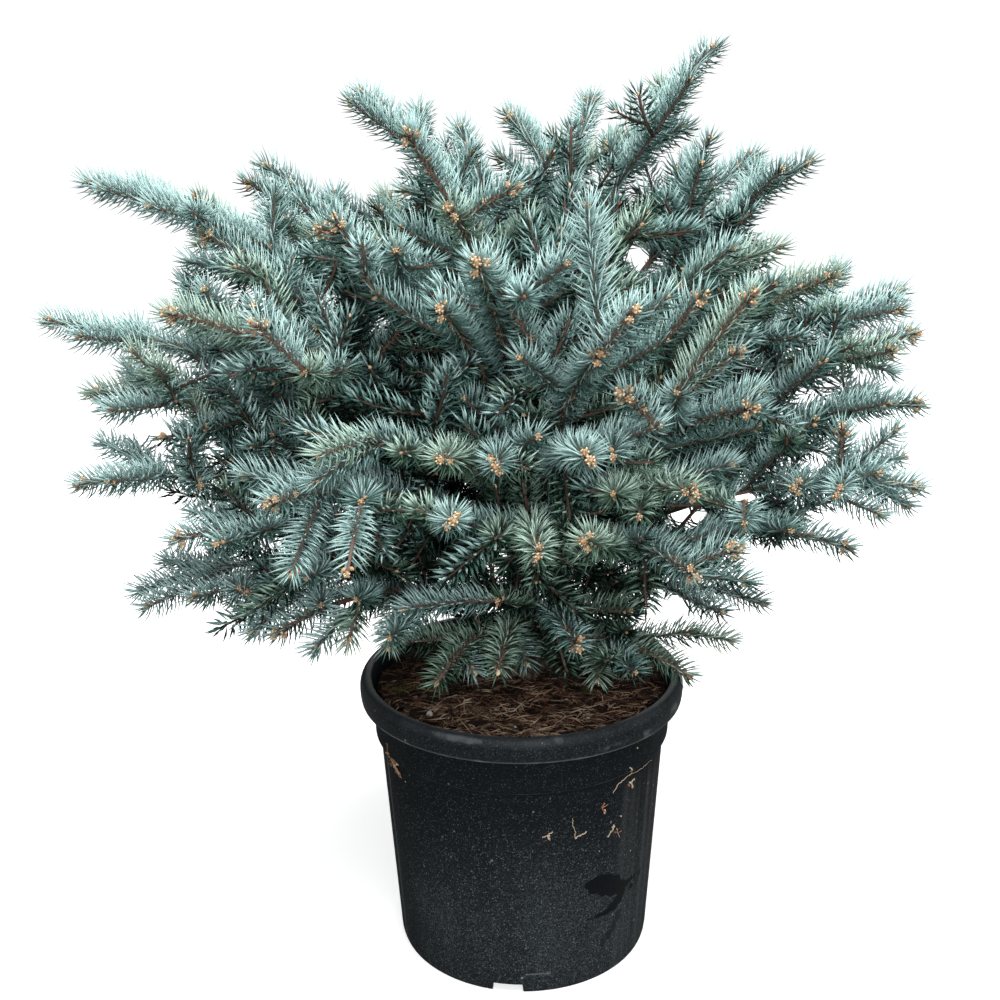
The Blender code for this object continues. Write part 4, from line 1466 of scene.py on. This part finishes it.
def apply_modifier(thing, modifier):
    only(thing)
    bpy.ops.object.modifier_apply(modifier=modifier.name)


def smooth_by_angle(thing, degrees):
    only(thing)
    bpy.ops.object.shade_smooth_by_angle(angle=math.radians(degrees))


def dress(thing, material, slot, *nodes):
    """Gives a finished piece its material and its body, and hides the solids that it stands for; the slot is
    not used.
    """
    if material is not None:
        thing.data.materials.clear()
        thing.data.materials.append(material)
    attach(thing, "root")
    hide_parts(*nodes)
    return thing


def make_pot(material):
    step = POT_HEIGHT - BAND_DEPTH
    skirt = POT_HEIGHT - RIM_DEPTH
    floor = CHANNEL_HEIGHT + FLOOR
    outline = rounded((
        (0.020, 0, 0),
        (DISC_RADIUS, 0, 0.002),
        (DISC_RADIUS + 0.006, CHANNEL_HEIGHT, 0.002),
        (FOOT_RADIUS - FOOT_WIDTH - 0.002, CHANNEL_HEIGHT, 0.002),
        (FOOT_RADIUS - FOOT_WIDTH, 0, 0.0012),
        (FOOT_RADIUS - 0.002, 0, 0.002),
        (FOOT_RADIUS, 0.006, 0.003),
        (STEP_RADIUS - 0.0003, step - 0.006, 0.002),
        (STEP_RADIUS + 0.0006, step - 0.002, 0.002),
        (STEP_RADIUS + 0.0052, step + 0.0015, 0.0025),
        (BAND_RADIUS, skirt, 0.0008),
        (RIM_RADIUS - 0.0016, skirt, 0.0010),
        (RIM_RADIUS - 0.0004, skirt + 0.006, 0.003),
        (RIM_RADIUS, POT_HEIGHT - 0.008, 0.006),
        (RIM_RADIUS - 0.0042, POT_HEIGHT, 0.0060),
        (LIP_RADIUS, POT_HEIGHT - 0.0008, 0.0022),
        (BAND_RADIUS - WALL, skirt, 0.002),
        (STEP_RADIUS - WALL, step - 0.003, 0.002),
        (FOOT_RADIUS - WALL, floor, 0.002),
        (0.010, floor, 0),
    ))
    pot = turned("pot_shell", outline, POT_SEGMENTS)
    for i in range(NOTCHES):
        cut_notch(pot, NOTCH_TURN + 2 * math.pi * i / NOTCHES)
    smooth_by_angle(pot, 32)
    return dress(pot, material, "black_plastic", "pot")


def cut_notch(pot, turn):
    """Cuts one notch in the pot's foot, a little narrower at its top."""
    reach = FOOT_RADIUS - FOOT_WIDTH / 2
    bpy.ops.object.select_all(action="DESELECT")
    bpy.ops.mesh.primitive_cube_add(
        size=1, location=(reach * math.cos(turn), reach * math.sin(turn), 0), rotation=(0, 0, turn),
        scale=(NOTCH_DEPTH, NOTCH_WIDTH, 2 * CHANNEL_HEIGHT - 0.002),
    )
    cutter = bpy.context.active_object
    bpy.ops.object.mode_set(mode="EDIT")
    bpy.ops.mesh.select_all(action="DESELECT")
    bpy.ops.object.mode_set(mode="OBJECT")
    for vertex in cutter.data.vertices:
        vertex.select = vertex.co.z > 0
    bpy.ops.object.mode_set(mode="EDIT")
    narrower = (1 - NOTCH_TAPER * abs(math.sin(turn)), 1 - NOTCH_TAPER * abs(math.cos(turn)), 1)
    bpy.ops.transform.resize(value=narrower)
    bpy.ops.object.mode_set(mode="OBJECT")
    settle(cutter)
    cut = pot.modifiers.new("notch", "BOOLEAN")
    cut.operation = "DIFFERENCE"
    cut.object = cutter
    apply_modifier(pot, cut)
    bpy.data.objects.remove(cutter)


def make_soil(material):
    """The soil's body and its rough surface, drawn in ring by ring."""
    edge = BAND_RADIUS - WALL - 0.0004
    outline = [(STEP_RADIUS - WALL - 0.002, 0.270), (edge - 0.0008, 0.294), (edge, 0.3005)]
    radius = edge - 0.002
    while radius > 0.004:
        outline.append((radius, float(soil_cone(radius))))
        radius -= SOIL_STEP
    soil = turned("soil_bed", outline, SOIL_SEGMENTS)
    for vertex in soil.data.vertices:
        x, y, z = vertex.co
        if z > 0.3006 and math.hypot(x, y) < edge - 0.001:
            vertex.co.z = float(soil_height(x, y))
    smooth_by_angle(soil, 60)
    return dress(soil, material, "potting_soil", "soil")


LITTER_COUNT = 5600
LITTER_LENGTHS = (0.012, 0.019, 0.028, 0.042)
LITTER_CHANCES = (0.25, 0.35, 0.28, 0.12)
LITTER_LEVELS = (("umber", -1, 0.52), ("russet", 0.52, 0.84), ("ochre", 0.84, 1.08), ("straw", 1.08, 9))


def put_litter(rng):
    """Dry needles and fibres on the soil: pale in the open front, dark where the boughs shade it."""
    count = LITTER_COUNT
    reach = np.sqrt(rng.random(count)) * (LIP_RADIUS - 0.007)
    turn = rng.random(count) * 2 * math.pi
    x, y = reach * np.cos(turn), reach * np.sin(turn)
    heading = rng.normal(0.1, 0.9, count)
    length = rng.choice(LITTER_LENGTHS, count, p=LITTER_CHANCES) * rng.uniform(0.8, 1.2, count)
    run = np.stack([np.cos(heading), np.sin(heading), rng.normal(0, 0.14, count)], axis=1)
    middle = np.stack([x, y, soil_height(x, y) + rng.uniform(0.0, 0.0055, count)], axis=1)
    aside = np.stack([-np.sin(heading), np.cos(heading), rng.uniform(0, 0.5, count)], axis=1)
    roots = middle - run * length[:, None] / 2
    tips = middle + run * length[:, None] / 2
    mids = middle + aside * (length * rng.normal(0, 0.13, count))[:, None]
    inside = np.all([np.hypot(rows[:, 0], rows[:, 1]) < LIP_RADIUS - 0.006 for rows in (roots, tips)], axis=0)
    for rows in (roots, mids, tips):
        ground = soil_height(rows[:, 0], rows[:, 1])
        rows[:, 2] = np.clip(rows[:, 2], ground + 0.0002, ground + 0.010)
    clumps = np.sin(x * 71 + 0.4) * np.sin(y * 97 + 1.9) + np.sin(x * 163 + y * 121 + 2.2) * 0.7
    level = rng.random(count) + np.clip((-y - 0.02) / 0.10, -0.35, 1) * 0.34 + clumps * 0.13
    thick = rng.uniform(0.0005, 0.0010, count)
    for name, low, high in LITTER_LEVELS:
        chosen = inside & (level >= low) & (level < high)
        heap("litter", name).add(*spindles(roots[chosen], mids[chosen], tips[chosen], thick[chosen]))


# Pebbles that lie in sight: the direction, the distance from the middle, and the size.
STONES = (
    (266.5, 0.1293, 1.0), (224.5, 0.1372, 1.5), (302.3, 0.1283, 1.1),
    (243.6, 0.1246, 0.7), (229.8, 0.1113, 0.8),
)
MORE_STONES = 14
CHIPS = 620
BLOCK = np.array([
    (0, 2, 1), (0, 3, 2), (4, 5, 6), (4, 6, 7), (0, 1, 5), (0, 5, 4),
    (1, 2, 6), (1, 6, 5), (2, 3, 7), (2, 7, 6), (3, 0, 4), (3, 4, 7),
])
BLOCK_CORNERS = np.array([(x, y, z) for z in (-1, 1) for x, y in ((-1, -1), (1, -1), (1, 1), (-1, 1))], float)
# Moss: the direction, the distance from the middle, how wide the patch is, and the number of its leaves.
MOSS = ((191, 0.136, 0.013, 260), (323, 0.088, 0.011, 200), (60, 0.120, 0.018, 300), (140, 0.130, 0.013, 220))


def put_chip(name, azimuth, reach, size, rng):
    """A flat uneven block, turned and tilted, on the soil."""
    shape = BLOCK_CORNERS * size * rng.uniform(0.70, 1.15, (8, 3))
    spin, tilt = rng.random() * 2 * math.pi, rng.normal(0, 0.30)
    about_z = np.array(((math.cos(spin), -math.sin(spin), 0), (math.sin(spin), math.cos(spin), 0), (0, 0, 1)))
    about_x = np.array(((1, 0, 0), (0, math.cos(tilt), -math.sin(tilt)), (0, math.sin(tilt), math.cos(tilt))))
    x, y = reach * math.cos(azimuth), reach * math.sin(azimuth)
    height = float(soil_height(x, y)) + rng.uniform(0, 0.0025)
    heap("litter", name).add(shape @ about_x.T @ about_z.T + (x, y, height), BLOCK)


def put_chips(rng):
    """Bark chips all over, and a few pebbles."""
    for i in range(CHIPS):
        size = np.array((rng.uniform(0.004, 0.011), rng.uniform(0.0018, 0.0045), rng.uniform(0.0007, 0.0018)))
        name = ("bark_dark", "bark_brown", "bark_pale")[rng.choice(3, p=(0.56, 0.36, 0.08))]
        azimuth = rng.random() * 2 * math.pi
        put_chip(name, azimuth, math.sqrt(rng.random()) * (LIP_RADIUS - 0.014), size, rng)
    pebbles = [(math.radians(azimuth), reach, share) for azimuth, reach, share in STONES]
    for i in range(MORE_STONES):
        azimuth = rng.uniform(-0.6, 2.6)
        pebbles.append((azimuth, math.sqrt(rng.random()) * (LIP_RADIUS - 0.014), rng.uniform(0.5, 1.0)))
    for azimuth, reach, share in pebbles:
        x, y = reach * math.cos(azimuth), reach * math.sin(azimuth)
        run = np.array((math.cos(azimuth + 1.2), math.sin(azimuth + 1.2), 0.12))
        place = np.array((x, y, float(soil_height(x, y)) + 0.0022 * share))
        pebble = bud(place - run * 0.0030 * share, run, 0.0060 * share, 0.0025 * share, rng, 6)
        heap("litter", "stone").add(*pebble)


def put_moss(rng):
    for azimuth, reach, wide, count in MOSS:
        centre = np.array((reach * math.cos(math.radians(azimuth)), reach * math.sin(math.radians(azimuth))))
        places = centre + rng.normal(0, wide * 0.45, (count, 2))
        places = places[np.hypot(places[:, 0], places[:, 1]) < LIP_RADIUS - 0.008]
        roots = np.column_stack([places, soil_height(places[:, 0], places[:, 1])])
        lean = unit(np.column_stack([rng.normal(0, 0.45, (len(places), 2)), np.ones(len(places))]))
        tips = roots + lean * rng.uniform(0.003, 0.0065, (len(places), 1))
        heap("litter", "moss").add(*spindles(roots, (roots + tips) / 2, tips, 0.0008))


# Dry root ends and straw that cling to the pot's wall: the colour, the thickness, and the direction and the
# height of each place along it.
STRANDS = (
    ("straw", 0.00045, (305.5, 0.2329), (308.8, 0.2417), (312.6, 0.2450), (316.0, 0.2459)),
    ("straw", 0.00028, (316.0, 0.2459), (320.0, 0.2441), (325.1, 0.2447), (330.5, 0.2440)),
    ("straw", 0.00038, (288.5, 0.2160), (288.2, 0.2090), (289.5, 0.1997), (289.6, 0.1911)),
    ("straw", 0.00075, (289.6, 0.1911), (292.5, 0.1941), (294.3, 0.1958)),
    ("straw", 0.00060, (304.3, 0.1806), (306.2, 0.1849), (307.1, 0.1913)),
    ("straw", 0.0014, (306.8, 0.1905), (307.3, 0.1925)),
    ("straw", 0.00040, (309.0, 0.1870), (309.4, 0.1825), (310.9, 0.1737)),
    ("rust", 0.00050, (307.6, 0.1840), (309.2, 0.1812), (312.2, 0.1800)),
    ("straw", 0.00070, (276.6, 0.1980), (278.6, 0.1992), (280.4, 0.2030)),
    ("straw", 0.0012, (278.9, 0.2005), (279.2, 0.1945)),
    ("straw", 0.00080, (312.1, 0.2596), (313.2, 0.2545), (314.7, 0.2498)),
    ("straw", 0.00070, (314.0, 0.2372), (315.4, 0.2350), (317.9, 0.2378)),
    ("straw", 0.00100, (315.2, 0.2360), (316.2, 0.2325), (316.7, 0.2275)),
    ("rust", 0.00080, (313.6, 0.2350), (315.0, 0.2325)),
    ("rust", 0.00090, (301.9, 0.2243), (301.0, 0.2190), (302.6, 0.2128)),
    ("rust", 0.00060, (301.0, 0.2190), (303.9, 0.2215)),
    ("straw", 0.00080, (302.4, 0.2165), (302.2, 0.2120)),
)
TANGLE = (209.5, 0.2440)  # where a tangle of roots hangs on the left
TANGLE_STRANDS = 17
FLECKS = (
    (215.6, 0.2526, 0.0020), (316.0, 0.2775, 0.0016), (311.2, 0.1992, 0.0015), (300.8, 0.1665, 0.0011),
    (319.1, 0.1469, 0.0010), (216.9, 0.2310, 0.0012),
)


def put_strand(name, places, radius, rng, proud=0.0006):
    points = np.array([on_wall(azimuth, height, proud) for azimuth, height in places])
    share = np.linspace(0, len(points) - 1, 4 * len(points))
    finer = np.stack([np.interp(share, range(len(points)), points[:, i]) for i in range(3)], axis=1)
    finer += rng.normal(0, 0.00035, finer.shape)
    heap("debris", name).add(*tube(finer, [radius * rng.uniform(0.7, 1.2) for point in finer], 5))


def put_debris(rng):
    """Strands, a tangle of them, and pale flecks on the pot's wall."""
    for name, radius, *places in STRANDS:
        put_strand(name, places, radius, rng)
    azimuth, height = TANGLE
    for i in range(TANGLE_STRANDS):
        turn = rng.uniform(-7, 6)
        rise = rng.uniform(-0.013, 0.014)
        middle = (azimuth + turn * 0.5 + rng.uniform(-1.5, 1.5), height + rise * 0.6)
        places = (TANGLE, middle, (azimuth + turn, height + rise))
        put_strand("rust" if i % 3 else "straw", places, 0.0005, rng, 0.0012)
    put_strand("rust", ((209.5, 0.2460), (208.6, 0.2600), (209.2, 0.2700)), 0.0004, rng, 0.0014)
    for azimuth, height, size in FLECKS:
        here = np.array(on_wall(azimuth, height))
        out = unit(here * (1, 1, 0))
        heap("debris", "straw").add(*bud(here - out * 0.0004, out, size, size * 0.7, rng))

# Trunk and boughs

def limb_piece(name, points, radii, relief, sides=6):
    """A bent limb with bark: a bevelled curve made a mesh, and pushed in and out by a scaly pattern."""
    curve = bpy.data.curves.new(name, "CURVE")
    curve.dimensions = "3D"
    curve.bevel_depth = 1.0
    curve.bevel_resolution = sides
    curve.use_fill_caps = True
    spline = curve.splines.new("POLY")
    spline.points.add(len(points) - 1)
    for knot, point, radius in zip(spline.points, points, radii):
        knot.co = (*point, 1)
        knot.radius = radius
    made = bpy.data.objects.new(name, curve)
    bpy.context.scene.collection.objects.link(made)
    only(made)
    bpy.ops.object.convert(target="MESH")
    thing = bpy.context.active_object
    bpy.ops.object.mode_set(mode="EDIT")
    bpy.ops.mesh.select_all(action="SELECT")
    bpy.ops.mesh.remove_doubles(threshold=0.00005)
    bpy.ops.mesh.normals_make_consistent(inside=False)
    bpy.ops.object.mode_set(mode="OBJECT")
    pattern = bpy.data.textures.new(name + "_scales", "VORONOI")
    pattern.noise_scale = BARK_SCALES
    push = thing.modifiers.new("bark", "DISPLACE")
    push.texture = pattern
    push.texture_coords = "LOCAL"
    push.strength = relief
    push.mid_level = 0.5
    apply_modifier(thing, push)
    smooth_by_angle(thing, 50)
    return thing


def root_flare(height):
    """From 1 at the soil, falling off up the trunk."""
    return math.exp(-((max(height - TRUNK_FOOT, 0) / FLARE_HEIGHT) ** 1.5))


def make_trunk(material):
    low = TRUNK_FOOT - 0.001
    heights = [low + (TRUNK_TOP - TRUNK_FOOT + 0.001) * i / TRUNK_RINGS for i in range(TRUNK_RINGS + 1)]
    foot, top = TRUNK_RADII
    radii = [foot + (top - foot) * trunk_share(height) + FLARE * root_flare(height) for height in heights]
    trunk = limb_piece("trunk_bark", [trunk_centre(height) for height in heights], radii, BARK_RELIEF[0], 14)
    for vertex in trunk.data.vertices:
        turn = math.atan2(vertex.co.y, vertex.co.x)
        lobes = 1 + LOBE_SHARE * root_flare(vertex.co.z) * math.cos(ROOT_LOBES * turn)
        vertex.co.x *= lobes
        vertex.co.y *= lobes
    dress(trunk, material, "bark", "trunk")


def make_bough(branch, material):
    points = [branch.line.point(branch.start * i / BOUGH_RINGS) for i in range(BOUGH_RINGS + 1)]
    foot, end = BOUGH_RADII
    radii = [foot + (end - foot) * i / BOUGH_RINGS for i in range(BOUGH_RINGS + 1)]
    bough = limb_piece("bark_" + branch.name, points, radii, BARK_RELIEF[1])
    dress(bough, material, "bark", "bough_" + branch.name)


def make_limbs(branches, material):
    make_trunk(material)
    for branch in branches:
        if branch.has_bough:
            make_bough(branch, material)


# Growing the crown

branches = make_branches()
grow(branches)
crown = Crown(branches)
grow_front(crown)
grow_twigs(crown, random.Random(SEED + 100))
fill_rng = random.Random(SEED + 200)
fill_crown(crown, fill_rng)
fill_heart(crown, fill_rng)
needle_rng = np.random.default_rng(SEED)
for shoot in crown.shoots:
    put_wood(shoot, needle_rng)
    tone = tone_of(shoot, needle_rng.normal(0, 0.08))
    put_needles(shoot, needle_rng, tone, hues_of(shoot, needle_rng.random()))
    put_buds(shoot, needle_rng)

litter_rng = np.random.default_rng(7)
put_litter(litter_rng)
put_chips(litter_rng)
put_moss(litter_rng)
put_debris(litter_rng)

# Pieces
make_pot(plastic_material(grit_group(), spot_group()))
make_soil(soil_material())
make_limbs(branches, bark_material())

PAINTS = {
    "needles": {  # the dark ones, which lie inside, have less gloss
        name: new_material("needle_" + name, colour, 0.45, min(0.30, 0.03 + 1.1 * colour[1]))
        for name, colour in TONES.items()
    },
    "wood": {
        "young": new_material("young_wood", (0.125, 0.084, 0.067), 0.8, 0.2),
        "old": new_material("old_wood", (0.060, 0.038, 0.028), 0.9, 0.2),
        "pegs": new_material("needle_pegs", (0.340, 0.240, 0.175), 0.8, 0.2),
    },
    "buds": {
        "straw": new_material("bud_straw", (0.700, 0.540, 0.360), 0.7, 0.3),
        "tan": new_material("bud_tan", (0.420, 0.270, 0.155), 0.7, 0.3),
        "rust": new_material("bud_rust", (0.215, 0.100, 0.052), 0.7, 0.3),
    },
    "litter": {
        name: new_material("litter_" + name, colour, 0.9, 0.08) for name, colour in {
            "umber": (0.014, 0.009, 0.007), "russet": (0.095, 0.050, 0.033), "ochre": (0.220, 0.138, 0.090),
            "straw": (0.400, 0.300, 0.215), "bark_dark": (0.020, 0.013, 0.010),
            "bark_brown": (0.060, 0.036, 0.024), "bark_pale": (0.160, 0.120, 0.085),
            "stone": (0.460, 0.450, 0.420), "moss": (0.060, 0.070, 0.020),
        }.items()
    },
    "debris": {
        "straw": new_material("dry_straw", (0.420, 0.330, 0.240), 0.8, 0.2),
        "rust": new_material("dry_root", (0.230, 0.105, 0.055), 0.8, 0.2),
    },
}

for key, store in sorted(heaps.items()):
    kind, name = key[0], key[-1]
    if kind in ("litter", "debris"):
        where = ("potting_soil", "soil") if kind == "litter" else ("black_plastic", "pot")
    else:
        masses = ["needles_" + branch.name for branch in branches if branch.name.startswith(key[1] + "_")]
        where = ("blue_needles" if kind == "needles" else "bark", *masses)
    dress(store.piece("_".join(key), PAINTS[kind][name], kind not in ("litter", "debris")), None, *where)

# Stage: a pale floor that throws little light back up, and soft light from over, before and behind the plant.
LAMPS = (  # name, place, size and power
    ("overhead", (0.5, -1.3, 5.0), 3.7, 440),
    ("front", (0.3, -3.0, 1.5), 2.0, 78),
    ("back", (0.2, 3.0, 1.7), 2.0, 42),
)
LIT_PLACE = Vector((0, 0, 0.5))  # the middle of the plant
CAMERA_PLACE = (-0.021, -1.342, 0.913)
CAMERA_TILT = math.radians(73.5)
CAMERA_ROLL = math.radians(-0.79)
CAMERA_LENS = 46.8
SENSOR_WIDTH = 36.0


def floor_material():
    """White to the camera and grey to the light."""
    material = bpy.data.materials.new("pale_floor")
    material.use_nodes = True
    material.node_tree.nodes.clear()
    nodes = Nodes(material.node_tree)
    reach = nodes.vector("LENGTH", {0: nodes.place()}).outputs["Value"]
    fade = {"Value": reach, "From Min": 0.3, "From Max": 1.5, "To Min": 0.66, "To Max": 1.0}
    glow = nodes.add("Emission", {"Strength": nodes.add("MapRange", fade).outputs["Result"]})
    pale = nodes.add("BsdfDiffuse", {"Color": (0.60, 0.60, 0.60)})
    both = nodes.add("AddShader", {0: glow.outputs[0], 1: pale.outputs[0]})
    dim = nodes.add("BsdfDiffuse", {"Color": (0.30, 0.30, 0.30)})
    nodes.show_camera(both.outputs[0], dim.outputs[0], nodes.add("OutputMaterial", {}))
    return material


def light_world():
    """A world that is white to the camera and gives a faint, slightly blue light."""
    world = bpy.data.worlds.new("studio")
    bpy.context.scene.world = world
    world.use_nodes = True
    nodes = Nodes(world.node_tree)
    white = nodes.fill(world.node_tree.nodes["Background"], {"Color": (1.0, 1.0, 1.0), "Strength": 1.1})
    soft = nodes.add("Background", {"Color": (0.93, 0.97, 1.0), "Strength": 0.16})
    nodes.show_camera(white.outputs[0], soft.outputs[0], world.node_tree.nodes["World Output"])


def area_light(name, place, size, power):
    """A square lamp that faces the middle of the plant."""
    data = bpy.data.lights.new(name, "AREA")
    data.shape = "SQUARE"
    data.size = size
    data.energy = power
    lamp = bpy.data.objects.new(name, data)
    bpy.context.scene.collection.objects.link(lamp)
    lamp.location = place
    lamp.rotation_mode = "QUATERNION"
    lamp.rotation_quaternion = (LIT_PLACE - Vector(place)).to_track_quat("-Z", "Y")


bpy.ops.object.select_all(action="DESELECT")
bpy.ops.mesh.primitive_plane_add(size=30, location=(0, 0, -0.0005))
floor = bpy.context.active_object
floor.name = "floor"
floor.data.materials.append(floor_material())

light_world()
for lamp in LAMPS:
    area_light(*lamp)
bpy.context.scene.view_settings.view_transform = "Standard"

camera_data = bpy.data.cameras.new("camera")
camera_data.lens = CAMERA_LENS
camera_data.sensor_width = SENSOR_WIDTH
camera_data.clip_start = 0.05
camera = bpy.data.objects.new("camera", camera_data)
bpy.context.scene.collection.objects.link(camera)
turned_by = Matrix.Rotation(CAMERA_TILT, 4, "X") @ Matrix.Rotation(CAMERA_ROLL, 4, "Z")
camera.matrix_world = Matrix.Translation(CAMERA_PLACE) @ turned_by
bpy.context.scene.camera = camera
